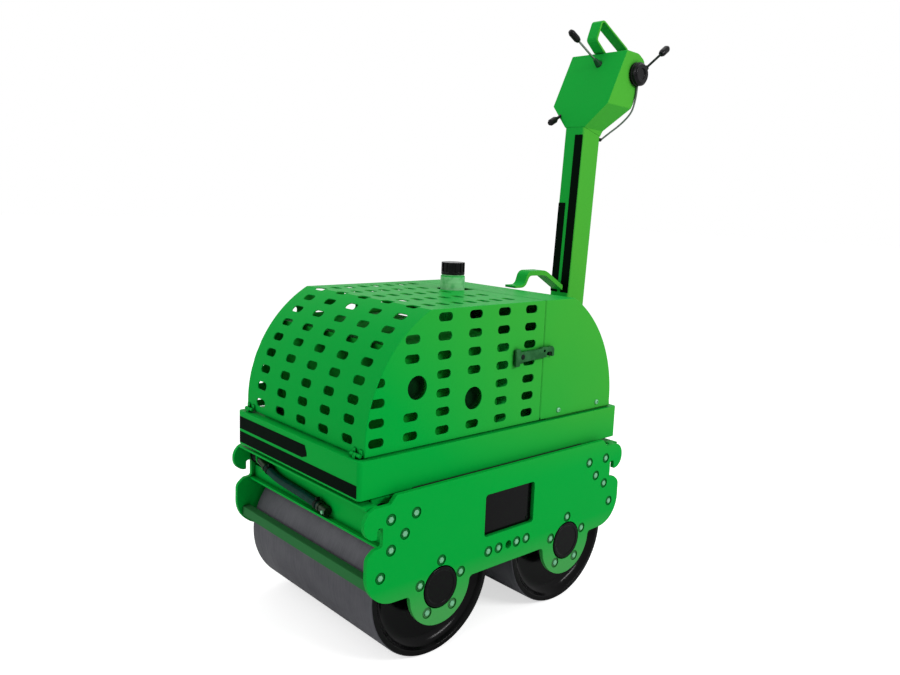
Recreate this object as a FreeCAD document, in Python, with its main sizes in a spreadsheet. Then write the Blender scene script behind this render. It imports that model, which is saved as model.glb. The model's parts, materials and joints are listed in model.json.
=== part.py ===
import FreeCAD, Part
import math
import os

from FreeCAD import Placement, Rotation, Vector

# Walk-behind double-drum roller, in millimetres. +Z is up and z = 0 is the ground. The nose with the
# perforated hood faces -Y, the operator stands at +Y, and the machine's left side is +X.
# The origin lies on the ground, midway between the two drums.

SIZES = {
    # drums
    "drum_radius": 200, "drum_half": 300, "drum_wall": 12, "axle_half": 250,
    "dish_depth": 26, "dish_wall": 10, "boss_radius": 52, "boss_length": 46,
    "stub_radius": 30, "fit": 0.05,
    # side plates
    "plate_outer": 330, "plate_wall": 12, "plate_top": 485, "lobe_radius": 103,
    "cap_radius": 55, "flange_radius": 88, "window_half": 97, "window_low": 296, "window_high": 417,
    "hook_reach": 501, "hook_top": 464, "hook_low": 384, "hook_tip": 39, "hook_slot": 411,
    "hook_gap": 18, "shoulder": 360, "tie_hole": 12, "tie_height": 252,
    # members between the side plates
    "cross_face": 433, "cross_back": 335, "cross_front": 488, "cross_low": 352, "cross_high": 464,
    "cross_wall": 6, "flange_wall": 8,
    "beam_half": 30, "beam_low": 222, "scraper_face": 474, "scraper_low": 243, "scraper_high": 281,
    "buffer_radius": 26, "buffer_along": 420, "buffer_height": 425, "buffer_length": 26,
    "buffer_plate": 3, "buffer_room": 32, "tab_wall": 6, "hose_radius": 12,
    # deck
    "deck_half": 300, "deck_end": 497, "deck_low": 477, "deck_high": 575, "deck_wall": 5,
    "floor_low": 483, "floor_wall": 6, "deck_corner": 12,
    "engine_half": 258, "engine_front": 375, "engine_high": 346,
    "tank_half": 215, "tank_front": 55, "tank_back": 400, "tank_high": 300,
    "neck_across": -50, "neck_back": 95, "neck_radius": 37, "neck_low": 780, "neck_high": 968,
    "cap_high": 45,
    # hood and rear cover
    "hood_half": 288, "hood_end": 473, "hood_low": 580, "hood_top": 927, "hood_arc": 371,
    "hood_spring": 600, "sheet": 3, "seam_front": 147, "seam_rear": 152,
    "slot_long": 47, "slot_high": 23, "slot_corner": 8, "slot_row": 610.5, "row_pitch": 49.3,
    "column_pitch": 106, "round_hole": 31,
    "hinge_back": 481, "hinge_height": 583, "hinge_radius": 5, "hinge_pin": 2.5, "hinge_across": 262,
    "knuckle": 12, "leaf_high": 14, "leaf_wall": 4,
    # handlebar
    "pivot_back": 560, "pivot_height": 520, "lean": 3.15, "stem_half": 40, "stem_deep": 44,
    "stem_wall": 5, "head_half": 116, "lug_inner": 46, "lug_wall": 10, "pin_radius": 11,
    "loop_half": 21, "lever_back": 102, "lever_height": 1112, "lever_hub": 38,
}

doc = FreeCAD.newDocument("WalkBehindRoller")
sheet = doc.addObject("Spreadsheet::Sheet", "sizes")
for row, (alias, number) in enumerate(SIZES.items(), start=1):
    sheet.set(f"A{row}", alias)
    sheet.set(f"B{row}", str(number))
    sheet.setAlias(f"B{row}", alias)
doc.recompute()

NODES = []


def size(name):
    """One driving size, read from the sheet."""
    return float(sheet.get(name))


# ---------------------------------------------------------------- outlines

def rounded(corners):
    """Edges of a closed outline. A corner is (across, up) or (across, up, radius)."""
    corners = [tuple(corner) + (0,) * (3 - len(corner)) for corner in corners]
    count = len(corners)
    starts, ends, arcs = [], [], []
    for i, (across, up, radius) in enumerate(corners):
        here = Vector(across, up, 0)
        before = Vector(*corners[i - 1][:2], 0) - here
        after = Vector(*corners[(i + 1) % count][:2], 0) - here
        before.normalize()
        after.normalize()
        half = before.getAngle(after) / 2
        if radius <= 0 or half < 0.01 or half > 1.56:
            ends.append(here)
            starts.append(here)
            arcs.append(None)
            continue
        back = radius / math.tan(half)
        middle = before + after
        middle.normalize()
        centre = here + middle * (radius / math.sin(half))
        ends.append(here + before * back)
        starts.append(here + after * back)
        arcs.append(Part.Arc(ends[-1], centre - middle * radius, starts[-1]))
    edges = []
    for i in range(count):
        if arcs[i]:
            edges.append(arcs[i])
        following = ends[(i + 1) % count]
        if starts[i].distanceToPoint(following) > 1e-6:
            edges.append(Part.LineSegment(starts[i], following))
    return edges


def rectangle(left, low, right, high, radius=0):
    """Edges of an upright rectangle with rounded corners."""
    return rounded([(left, low, radius), (right, low, radius), (right, high, radius), (left, high, radius)])


def circle(across, up, radius):
    return [Part.Circle(Vector(across, up, 0), Vector(0, 0, 1), radius)]


def slot(across, up):
    """One hood slot, long side level, its corners cut at 45 degrees."""
    half, high, cut = size("slot_long") / 2, size("slot_high") / 2, size("slot_corner")
    steps = [(-half, cut - high), (cut - half, -high), (half - cut, -high), (half, cut - high),
             (half, high - cut), (half - cut, high), (cut - half, high), (-half, high - cut)]
    return rounded([(across + a, up + b) for a, b in steps])


# ---------------------------------------------------------------- bodies and features

def register(node, *placing):
    """Gives a finished sub-part its place and enters it in the list of nodes."""
    if placing:
        node.Placement = placing[0]
    NODES.append(node)
    return node


def new_body(label):
    body = doc.addObject("PartDesign::Body", label)
    body.Label = label
    return body


def add_sketch(body, plane, edges, offset="0"):
    """Sketch on one of the body's own origin planes, moved along the plane's normal by offset."""
    sketch = body.newObject("Sketcher::SketchObject", f"{body.Name}_sketch")
    support = next(f for f in body.Origin.OriginFeatures if f.Role == plane)
    sketch.AttachmentSupport = [(support, "")]
    sketch.MapMode = "FlatFace"
    sketch.setExpression("AttachmentOffset.Base.z", offset)
    for edge in edges:
        sketch.addGeometry(edge, False)
    return sketch


def pad(body, plane, edges, length, offset="0", middle=False):
    feature = body.newObject("PartDesign::Pad", f"{body.Name}_pad")
    feature.Profile = add_sketch(body, plane, edges, offset)
    feature.setExpression("Length", length)
    feature.Midplane = middle
    doc.recompute()
    return feature


def pocket(body, plane, edges, length, offset="0", middle=False):
    """Cuts against the plane's normal, or both ways from the middle, and checks that it cut."""
    before = body.Shape.Volume
    feature = body.newObject("PartDesign::Pocket", f"{body.Name}_pocket")
    feature.Profile = add_sketch(body, plane, edges, offset)
    feature.setExpression("Length", length)
    feature.Midplane = middle
    doc.recompute()
    if body.Shape.Volume > before - 1:
        raise RuntimeError(f"{body.Label}: a pocket cut nothing")
    return feature


def turned(corners):
    """Edges of a turned profile: a corner's third number is the size of its chamfer."""
    points = []
    count = len(corners)
    for i, corner in enumerate(corners):
        here = Vector(*corner[:2], 0)
        cut = corner[2] if len(corner) > 2 else 0
        if cut == 0:
            points.append(here)
            continue
        for neighbour in (corners[i - 1], corners[(i + 1) % count]):
            step = Vector(*neighbour[:2], 0) - here
            step.normalize()
            points.append(here + step * cut)
    return [Part.LineSegment(points[i - 1], points[i]) for i in range(len(points))]


def revolve(body, plane, edges, axis):
    """A full turn about one of the sketch's own axes."""
    feature = body.newObject("PartDesign::Revolution", f"{body.Name}_revolution")
    profile = add_sketch(body, plane, edges)
    feature.Profile = profile
    feature.ReferenceAxis = (profile, [axis])
    feature.Angle = 360
    doc.recompute()
    return feature


def soften(body, radius, chosen):
    """Fillets the edges that the test picks out of the body's present shape."""
    tip = body.Tip
    names = [f"Edge{i}" for i, edge in enumerate(tip.Shape.Edges, start=1) if chosen(edge)]
    feature = body.newObject("PartDesign::Fillet", f"{body.Name}_fillet")
    feature.Base = (tip, names)
    feature.Radius = radius
    doc.recompute()
    return feature


def tube(points, radius):
    """Round bar or hose: straight runs joined by tangent arcs as large as the runs allow."""
    edges, start, bends = [], points[0], []
    for i in range(1, len(points) - 1):
        back, ahead = points[i - 1] - points[i], points[i + 1] - points[i]
        reach = 0.45 * min(back.Length, ahead.Length)
        back.normalize()
        ahead.normalize()
        half = back.getAngle(ahead) / 2
        bend = reach * math.tan(half)
        middle = back + ahead
        middle.normalize()
        first, last = points[i] + back * reach, points[i] + ahead * reach
        top = points[i] + middle * (bend / math.sin(half) - bend)
        edges += [Part.LineSegment(start, first).toShape(), Part.Arc(first, top, last).toShape()]
        bends.append(round(bend))
        start = last
    edges.append(Part.LineSegment(start, points[-1]).toShape())
    wire = Part.Wire(edges)
    ring = Part.Wire([Part.makeCircle(radius, points[0], points[1] - points[0])])
    solid = wire.makePipeShell([ring], True, False)
    share = solid.Volume / (math.pi * radius ** 2 * wire.Length)
    print(f"tube of radius {radius}: bends {bends}, volume {share:.3f} of its section times length")
    return solid


def feature(label, shape):
    """A sub-part whose shape comes from Part's own functions."""
    node = doc.addObject("Part::Feature", label)
    node.Label = label
    node.Shape = shape
    return node


# ---------------------------------------------------------------- drums

def drum(name, along_y):
    """A rolled steel shell and two dished ends with their bearing bosses."""
    place = Placement(Vector(0, along_y, size("drum_radius")), Rotation())
    radius, half, wall = size("drum_radius"), size("drum_half"), size("drum_wall")
    shell = new_body(f"{name}_shell")
    revolve(shell, "XZ_Plane", rectangle(-half, radius - wall, half, radius), "H_Axis")
    register(shell, place)

    ends = new_body(f"{name}_ends")
    depth, plate = size("dish_depth"), size("dish_wall")
    boss, length, bore = size("boss_radius"), size("boss_length"), size("stub_radius") + size("fit")
    rim = radius - wall
    face = half - depth
    outline = [(half - 2, rim), (half - 2, rim - 6), (face, rim - 30), (face, boss + 8),
               (face + 12, boss), (face + 12, bore), (face + 12 - length, bore),
               (face + 12 - length, boss), (face - plate, boss), (face - plate, rim - 36),
               (half - 12, rim - 10), (half - 12, rim)]
    revolve(ends, "XZ_Plane", turned(outline) + turned([(-across, up) for across, up in outline]), "H_Axis")
    register(ends, place)


# ---------------------------------------------------------------- undercarriage

def plate_outline():
    """Half of the side plate's edge, from the top middle round the hook and both lobes, to Y > 0."""
    top, reach, low = size("plate_top"), size("hook_reach"), size("hook_low")
    hook, tip, slot_top, gap = size("hook_top"), size("hook_tip"), size("hook_slot"), size("hook_gap")
    hub, lobe = size("axle_half"), size("lobe_radius")
    base, shoulder = size("drum_radius"), size("shoulder")
    throat = reach - tip
    return [(404, top, 6), (422, hook, 6), (reach, hook, tip), (reach, low, 36), (throat, low, 4),
            (throat, slot_top, 7), (throat - gap, slot_top, 7), (throat - gap, shoulder, 8),
            (throat + 6, shoulder - 2, 10), (491, shoulder - 20, 25),
            (493, base + 8, 86), (hub + lobe, base + 4, 12), (hub + lobe, base - lobe, lobe - 1),
            (hub - lobe, base - lobe, lobe - 1), (hub - lobe, base + 2, 12)]


def side_plate(name, side):
    """One thick flame-cut plate that carries both drums, with a lashing hook at each top corner."""
    half = plate_outline()
    outline = half + [(-across, up, *rest) for across, up, *rest in reversed(half)]
    body = new_body(name)
    start = "sizes.plate_outer - sizes.plate_wall" if side > 0 else "-sizes.plate_outer"
    pad(body, "YZ_Plane", rounded(outline), "sizes.plate_wall", start)
    holes = circle(0, size("tie_height"), size("tie_hole"))
    for hub in (-size("axle_half"), size("axle_half")):
        holes += circle(hub, size("drum_radius"), size("cap_radius") + 0.5)
    window = size("window_half")
    holes += rectangle(-window, size("window_low"), window, size("window_high"), 10)
    pocket(body, "YZ_Plane", holes, "2 * sizes.plate_outer + 4", "0", True)
    register(body)


def hub(name, side, along_y):
    """Bearing carrier bolted behind the side plate: flange, stub axle and the round cap outside."""
    inner = size("plate_outer") - size("plate_wall")
    stub_end = size("drum_half") - size("dish_depth") - 30
    flange, cap, stub = size("flange_radius"), size("cap_radius"), size("stub_radius")
    cap_face = size("plate_outer") + 2
    outline = [(stub_end, 0), (stub_end, stub, 2), (inner - 14, stub), (inner - 10, stub + 16),
               (inner - 10, flange), (inner, flange), (inner, cap), (cap_face, cap, 2),
               (cap_face, cap - 9), (cap_face - 2, cap - 11), (cap_face - 2, 0)]
    body = new_body(name)
    revolve(body, "XZ_Plane", turned(outline), "H_Axis")
    turn = Rotation() if side > 0 else Rotation(Vector(0, 0, 1), 180)
    register(body, Placement(Vector(0, along_y, size("drum_radius")), turn))


def cross_member(name, end):
    """Welded sheet between the side plates: top plate, web with a bent lip, and cheeks that bolt on."""
    face, back, front = size("cross_face"), size("cross_back"), size("cross_front")
    low, high, wall = size("cross_low"), size("cross_high"), size("cross_wall")
    inner = size("plate_outer") - size("plate_wall")
    section = rounded([(end * a, b, r) for a, b, r in (
        (face + 16, low, 0), (face + 16, low + wall, 0), (face, low + wall, 0), (face, high - wall, 3),
        (front, high - wall, 0), (front, high, 2), (back, high, 0), (back, high - wall, 0),
        (face - wall, high - wall, 3), (face - wall, low, 8))])
    body = new_body(name)
    pad(body, "YZ_Plane", section, "2 * (sizes.plate_outer - sizes.plate_wall)", "0", True)
    # room for the rubber buffers at both upper corners
    along_y, up, room = size("buffer_along"), size("buffer_height"), size("buffer_room")
    notch = rounded([(end * a, b) for a, b in (
        (along_y - room, up - room), (along_y + room, up - room),
        (along_y + room, high + 5), (along_y - room, high + 5))])
    notch_long = 44
    for start in (inner, notch_long - inner):
        pocket(body, "YZ_Plane", notch, str(notch_long), str(start))
    cheek = rounded([(end * a, b, r) for a, b, r in (
        (along_y - room, high - wall, 0), (back - 18, high - wall, 14), (back - 18, 405, 30),
        (400, 330, 20), (face - wall, 330, 10), (face - wall, up - room, 0), (along_y - room, up - room, 6))])
    for start in (inner - size("flange_wall"), -inner):
        pad(body, "YZ_Plane", cheek, "sizes.flange_wall", str(start))
    register(body)


def buffers():
    """Four bonded rubber buffers, with their steel end plates, that carry the deck on the side plates."""
    radius, along_y, up = size("buffer_radius"), size("buffer_along"), size("buffer_height")
    inner = size("plate_outer") - size("plate_wall")
    plate, length = size("buffer_plate"), size("buffer_length")
    rubber, plates = new_body("side_buffers"), new_body("buffer_plates")
    discs = circle(-along_y, up, radius) + circle(along_y, up, radius)
    wide = circle(-along_y, up, radius + 3) + circle(along_y, up, radius + 3)
    for start in (inner - plate - length, plate - inner):
        pad(rubber, "YZ_Plane", discs, "sizes.buffer_length", str(start))
    for start in (inner - plate, inner - 2 * plate - length, -inner, plate + length - inner):
        pad(plates, "YZ_Plane", wide, "sizes.buffer_plate", str(start))
    register(rubber)
    register(plates)


def sprinkler_hose():
    """Water hose along the front cross-member, between two fittings on its web."""
    radius = size("hose_radius")
    across = -size("cross_face") - radius - 2
    route = [(-222, 412), (-176, 395), (-60, 391), (16, 386), (56, 381)]
    points = [Vector(x, across, z) for x, z in route]
    register(feature("sprinkler_hose", tube(points, radius)))
    first = hose_fitting(points[0], points[0] - points[1])
    last = hose_fitting(points[-1], points[-1] - points[-2])
    register(feature("hose_elbow", Part.makeCompound([first, last])))


def hose_fitting(end, away):
    """Collar and elbow on the hose's end, with a stub into the web behind it."""
    away = Vector(away).normalize()
    radius = size("hose_radius")
    collar = Part.makeCylinder(radius + 2, 8, end, away)
    body = Part.makeCylinder(radius, 30, end + away * 8, away)
    stub = Part.makeCylinder(9, -end.y - size("cross_face"), end + away * 24, Vector(0, 1, 0))
    return collar.fuse([body, stub]).removeSplitter()


def centre_beam():
    """Square tube between the drums, on flanges that carry the row of bolts."""
    half, low = size("beam_half"), size("beam_low")
    inner = size("plate_outer") - size("plate_wall")
    body = new_body("centre_beam")
    pad(body, "YZ_Plane", rectangle(-half, low, half, low + 2 * half, 6),
        "2 * (sizes.plate_outer - sizes.plate_wall)", "0", True)
    pocket(body, "YZ_Plane", rectangle(-half + 6, low + 6, half - 6, low + 2 * half - 6, 3),
           "2 * sizes.plate_outer", "0", True)
    flange = rectangle(-98, low + 4, 98, low + 2 * half - 3, 12)
    for start in (inner - size("flange_wall"), -inner):
        pad(body, "YZ_Plane", flange, "sizes.flange_wall", str(start))
    pocket(body, "YZ_Plane", circle(0, size("tie_height"), size("tie_hole")), "2 * sizes.plate_outer",
           "0", True)
    register(body)


def window_cover(name, side):
    """Black sheet behind the window of a side plate, over the drive."""
    window, low, high = size("window_half") + 12, size("window_low") - 12, size("window_high") + 12
    body = new_body(name)
    start = "sizes.plate_outer - sizes.plate_wall - 4" if side > 0 else "sizes.plate_wall - sizes.plate_outer"
    pad(body, "YZ_Plane", rectangle(-window, low, window, high, 12), "4", start)
    register(body)


def scraper(name, end):
    """Angle bar across the drum's outer face, with the wear strip that keeps the shell clean."""
    face, low, high = size("scraper_face"), size("scraper_low"), size("scraper_high")
    section = rounded([(end * a, b, r) for a, b, r in (
        (face, low, 0), (face, high, 6), (face - 24, high, 0), (face - 24, high - 5, 0),
        (face - 5, high - 5, 2), (face - 5, low, 0))])
    body = new_body(name)
    pad(body, "YZ_Plane", section, "2 * (sizes.plate_outer - sizes.plate_wall)", "0", True)
    register(body)


# ---------------------------------------------------------------- deck

def deck():
    """Bent belt with a floor for the engine and a top rim on which the hood stands."""
    half, end, wall, corner = (size(s) for s in ("deck_half", "deck_end", "deck_wall", "deck_corner"))
    body = new_body("deck")
    pad(body, "XY_Plane", rectangle(-half, -end, half, end, corner),
        "sizes.deck_high - sizes.deck_low", "sizes.deck_low")
    inside = rectangle(wall - half, wall - end, half - wall, end - wall, corner - wall)
    pocket(body, "XY_Plane", inside, "sizes.deck_high - 4 - sizes.floor_low - sizes.floor_wall",
           "sizes.deck_high - 4")
    pocket(body, "XY_Plane", rectangle(-262, -448, 262, 448, 20), "4", "sizes.deck_high")
    pocket(body, "XY_Plane", inside, "sizes.floor_low - sizes.deck_low", "sizes.floor_low")
    # tabs that hang from the floor on to the rubber buffers
    inner = size("plate_outer") - size("plate_wall")
    tab_face = inner - 2 * size("buffer_plate") - size("buffer_length")
    along_y, up, reach = size("buffer_along"), size("buffer_height"), size("buffer_radius") + 3
    tabs = []
    for side in (-along_y, along_y):
        tabs += rounded([(side - reach, up - reach, reach - 1), (side + reach, up - reach, reach - 1),
                         (side + reach, size("floor_low") + 1), (side - reach, size("floor_low") + 1)])
    for start in (tab_face - size("tab_wall"), -tab_face):
        pad(body, "YZ_Plane", tabs, "sizes.tab_wall", str(start))
    register(body)


def engine():
    """Plain block of the diesel engine at its real place."""
    block = doc.addObject("Part::Box", "engine_block")
    block.Label = "engine"
    block.setExpression("Length", "2 * sizes.engine_half")
    block.setExpression("Width", "sizes.engine_front")
    block.setExpression("Height", "sizes.engine_high")
    block.setExpression("Placement.Base.x", "-sizes.engine_half")
    block.setExpression("Placement.Base.y", "-sizes.engine_front")
    block.setExpression("Placement.Base.z", "sizes.floor_low + sizes.floor_wall")
    doc.recompute()
    register(block)


def water_tank():
    """Moulded sprinkler tank with the filler neck that stands through the hood."""
    floor, half, high = size("floor_low") + size("floor_wall"), size("tank_half"), size("tank_high")
    across, back, neck = size("neck_across"), size("neck_back"), size("neck_radius")
    body = new_body("water_tank")
    pad(body, "XY_Plane", rectangle(-half, size("tank_front"), half, size("tank_back"), 40),
        "sizes.tank_high", "sizes.floor_low + sizes.floor_wall")
    soften(body, 24, lambda e: abs(e.BoundBox.ZMin - floor - high) < 1e-6 and e.BoundBox.ZLength < 1e-6)
    pad(body, "XY_Plane", circle(across, back, neck), "sizes.neck_high - sizes.neck_low", "sizes.neck_low")
    register(body)
    cap = new_body("tank_cap")
    pad(cap, "XY_Plane", circle(across, back, neck - 1), "sizes.cap_high", "sizes.neck_high")
    register(cap)


# ---------------------------------------------------------------- hood and rear cover

def cover_profile(inset):
    """The hood's side outline as points: level of the low edge, the spring line, and the top."""
    radius = size("hood_arc") - inset
    centre = size("hood_end") - size("hood_arc")
    top = size("hood_top") - inset
    rise = math.asin((top - size("hood_spring")) / radius)
    return radius, centre, top, rise


def arc_points(sign, inset):
    """Middle and upper end of the hood's arc, in the side view."""
    radius, centre, top, rise = cover_profile(inset)
    half, spring = rise / 2, size("hood_spring")
    middle = Vector(sign * (centre + radius * math.cos(half)), spring + radius * math.sin(half), 0)
    upper = Vector(sign * (centre + radius * math.cos(rise)), top, 0)
    return middle, upper


def strip_edges(sign, seam):
    """Closed section of the bent sheet from the low edge over the arc to the seam."""
    edges = []
    low, spring, end = size("hood_low"), size("hood_spring"), size("hood_end")
    wall = size("sheet")
    rims = []
    for inset in (0, wall):
        points = [Vector(sign * (end - inset), low, 0), Vector(sign * (end - inset), spring, 0)]
        middle, last = arc_points(sign, inset)
        rims.append((points, middle, last, Vector(seam, last.y, 0)))
    for (low_point, spring_point), middle, last, finish in rims:
        edges += [Part.LineSegment(low_point, spring_point), Part.Arc(spring_point, middle, last),
                  Part.LineSegment(last, finish)]
    edges.append(Part.LineSegment(rims[0][0][0], rims[1][0][0]))
    edges.append(Part.LineSegment(rims[0][3], rims[1][3]))
    return edges


def side_edges(sign, seam):
    """Outline of a flat side panel, from the seam round the arc and back along the low edge."""
    low, top, end = size("hood_low"), size("hood_top"), size("hood_end")
    spring_point = Vector(sign * end, size("hood_spring"), 0)
    middle, last = arc_points(sign, 0)
    return [Part.LineSegment(Vector(seam, low, 0), Vector(sign * end, low, 0)),
            Part.LineSegment(Vector(sign * end, low, 0), spring_point),
            Part.Arc(spring_point, middle, last),
            Part.LineSegment(last, Vector(seam, top, 0)),
            Part.LineSegment(Vector(seam, top, 0), Vector(seam, low, 0))]


def hood_side(name, side):
    """Flat perforated side of the hood: level slots in rows and columns and two round holes."""
    body = new_body(name)
    start = "sizes.hood_half - sizes.sheet" if side > 0 else "-sizes.hood_half"
    pad(body, "YZ_Plane", side_edges(-1, size("seam_front")), "sizes.sheet", start)
    first, pitch, columns = size("slot_row"), size("row_pitch"), size("column_pitch")
    rows_in_column = [(0, 1, 2, 3), (0, 1, 4, 5), range(7), (0, 3, 4, 5, 6), range(7), range(7)]
    holes = []
    for column, rows in enumerate(rows_in_column):
        for i in rows:
            holes += slot(90 - columns * (5 - column), first + pitch * i)
    holes += circle(-315, 733, size("round_hole")) + circle(-120, 680.5, size("round_hole"))
    pocket(body, "YZ_Plane", holes, "2 * sizes.hood_half + 4", "0", True)
    register(body)


def slot_cutter():
    """One prism per slot of the hood's front and top, square to the sheet where it stands."""
    radius, centre, top, rise = cover_profile(0)
    pitch, columns, seam = size("row_pitch"), size("column_pitch"), size("seam_front")
    spring = size("hood_spring")
    flat = radius * rise
    prisms = []
    for i in range(20):
        travel = 11 + pitch * (i - 0.02)
        if travel < flat:
            angle = travel / radius
            place = Vector(0, -centre - radius * math.cos(angle), spring + radius * math.sin(angle))
            tilt = math.degrees(angle)
        else:
            place = Vector(0, travel - flat - centre - radius * math.cos(rise), top)
            tilt = 90
        if place.y > seam - 30:
            break
        for column in range(-2, 3):
            x = column * columns
            if place.y > 30 and -140 < x < 40:
                continue
            edges = [edge.toShape() for edge in slot(0, 0)]
            prism = Part.Face(Part.Wire(Part.__sortEdges__(edges))).extrude(Vector(0, 0, 24))
            stand = Placement(Vector(x, place.y, place.z), Rotation(Vector(1, 0, 0), 90 - tilt))
            prism.Placement = stand.multiply(Placement(Vector(0, 0, -12), Rotation()))
            prisms.append(prism)
    return Part.makeCompound(prisms)


def hood_wrap():
    """Bent perforated sheet over the hood's front and top, notched round the tank's neck."""
    blank = new_body("hood_wrap_blank")
    pad(blank, "YZ_Plane", strip_edges(-1, size("seam_front")), "2 * (sizes.hood_half - sizes.sheet)",
        "0", True)
    seam = size("seam_front")
    across, back, room = size("neck_across"), size("neck_back"), size("neck_radius") + 9
    notch = rectangle(across - room, back - room, across + room, seam + 40, 40)
    pocket(blank, "XY_Plane", notch, "30", "sizes.hood_top + 10")
    cutter = feature("slot_cutter", slot_cutter())
    wrap = doc.addObject("Part::Cut", "hood_wrap")
    wrap.Label = "hood_wrap"
    wrap.Base = blank
    wrap.Tool = cutter
    doc.recompute()
    register(wrap)


def rear_cover():
    """Fixed rear half of the casing: two flat sides and the bent back."""
    back = new_body("rear_cover_back")
    pad(back, "YZ_Plane", strip_edges(1, size("seam_rear")), "2 * (sizes.hood_half - sizes.sheet)",
        "0", True)
    register(back)
    for name, start in (("rear_cover_left", "sizes.hood_half - sizes.sheet"),
                        ("rear_cover_right", "-sizes.hood_half")):
        body = new_body(name)
        pad(body, "YZ_Plane", side_edges(1, size("seam_rear")), "sizes.sheet", start)
        register(body)


def cover_rails():
    """Angle rails on the deck rim, to which the rear cover is bolted."""
    half, low = size("hood_half") - size("sheet"), size("deck_high")
    edge, end = size("seam_rear") + 26, size("hood_end") - size("sheet")
    body = new_body("cover_rails")
    ring = rounded([(-half, edge, 0), (4 - half, edge, 0), (4 - half, end - 4, 3), (half - 4, end - 4, 3),
                    (half - 4, edge, 0), (half, edge, 0), (half, end, 0), (-half, end, 0)])
    pad(body, "XY_Plane", ring, "sizes.hood_spring - sizes.deck_high - 1", str(low))
    register(body)


def seam_strip():
    """Joggled band inside the rear cover that laps under the hood's rear edge."""
    seat, edge = size("hood_half") - size("sheet"), size("seam_rear")
    roof, low = size("hood_top") - size("sheet"), size("deck_high") + 12

    def hoop(gap, wall):
        """Upside-down U: outside gap under the sheet, and one wall thick."""
        out, top = seat - gap, roof - gap
        return rounded([(-out, low), (-out, top, 2), (out, top, 2), (out, low), (out - wall, low),
                        (out - wall, top - wall), (wall - out, top - wall), (wall - out, low)])

    body = new_body("seam_strip")
    pad(body, "XZ_Plane", hoop(0, 8), "22", f"-{edge + 24}")
    pad(body, "XZ_Plane", hoop(5, 3), "18", f"-{edge + 2}")
    register(body)


def hood_hinges():
    """Two hinges at the foot of the hood: barrels and pins on the deck, leaves on the hood."""
    back, height, radius = size("hinge_back"), size("hinge_height"), size("hinge_radius")
    pin, across, deck_top = size("hinge_pin"), size("hinge_across"), size("deck_high")
    wide, leaf_wall, play = size("knuckle"), size("leaf_wall"), 1
    along_x = Vector(1, 0, 0)
    pins, leaves = [], []
    for x in (-across, across):
        barrel = Part.makeCylinder(radius, wide, Vector(x - wide / 2, -back, height), along_x)
        foot = Part.makeBox(wide, 2 * radius + 4, height - deck_top,
                            Vector(x - wide / 2, -back - radius - 2, deck_top))
        ends = (x - 1.5 * wide - play, x + wide / 2 + play)
        rod = Part.makeCylinder(pin, 3 * wide + 2 * play, Vector(ends[0], -back, height), along_x)
        pins.append(barrel.fuse([foot, rod]).removeSplitter())
        for start in ends:
            knuckle = Part.makeCylinder(radius, wide, Vector(start, -back, height), along_x)
            leaf = Part.makeBox(wide, leaf_wall, size("leaf_high"),
                                Vector(start, -size("hood_end") - leaf_wall, height))
            bore = Part.makeCylinder(pin + size("fit"), wide, Vector(start, -back, height), along_x)
            leaves.append(knuckle.fuse(leaf).removeSplitter().cut(bore))
    register(feature("hinge_pins", Part.makeCompound(pins)))
    register(feature("hinge_leaves", Part.makeCompound(leaves)))


def hood_latches():
    """Draw latches on the hood's sides; their hooked ends drop over pegs on the rear cover."""
    half, foot_high, strap, peg_radius = size("hood_half"), 5.5, 6.5, 5
    latch = rounded([(25, 750, 3), (41, 750, 3), (43, 760, 3), (70, 762, 6), (120, 765, 30), (151, 766, 2),
                     (151, 781, 6), (173, 781, 6), (173, 766, 2), (182, 768, 4), (182, 788, 8),
                     (174, 797, 6), (158, 794, 6), (136, 797, 6), (124, 792, 6), (60, 790, 20),
                     (43, 790, 3), (41, 799, 3), (25, 799, 3)])
    pull_hole = circle(141, 785, 4)
    body = new_body("hood_latches")
    for start in (half + foot_high, -half - foot_high - strap):
        pad(body, "YZ_Plane", latch + pull_hole, str(strap), str(start))
    foot = rectangle(27, 757, 62, 784, 4)
    for start in (half, -half - foot_high):
        pad(body, "YZ_Plane", foot, str(foot_high), str(start))
    register(body)
    pegs = new_body("latch_pegs")
    peg_long = 14
    for start in (half, -half - peg_long):
        pad(pegs, "YZ_Plane", circle(162, 774.5, peg_radius), str(peg_long), str(start))
    register(pegs)


def bar_rest():
    """Bent flat bar on the rear cover, against which the upright steering bar parks."""
    top = size("hood_top")
    path = [(298, 0, 0), (340, 0, 20), (356, 45, 26), (440, 45, 60), (529, -8, 0)]
    upper = [(along_y, top + up + 8, r) for along_y, up, r in path]
    lower = [(298, top, 0), (345, top, 28), (363, top + 37, 18), (437, top + 37, 52), (527, top - 16, 0)]
    body = new_body("bar_rest")
    pad(body, "YZ_Plane", rounded(upper + lower[::-1]), "46", "0", True)
    register(body)


# ---------------------------------------------------------------- handlebar

def handle_place():
    """Where the handlebar's own frame stands: on the pivot, leaning back."""
    return Placement(Vector(0, size("pivot_back"), size("pivot_height")),
                     Rotation(Vector(1, 0, 0), -size("lean")))


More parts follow.
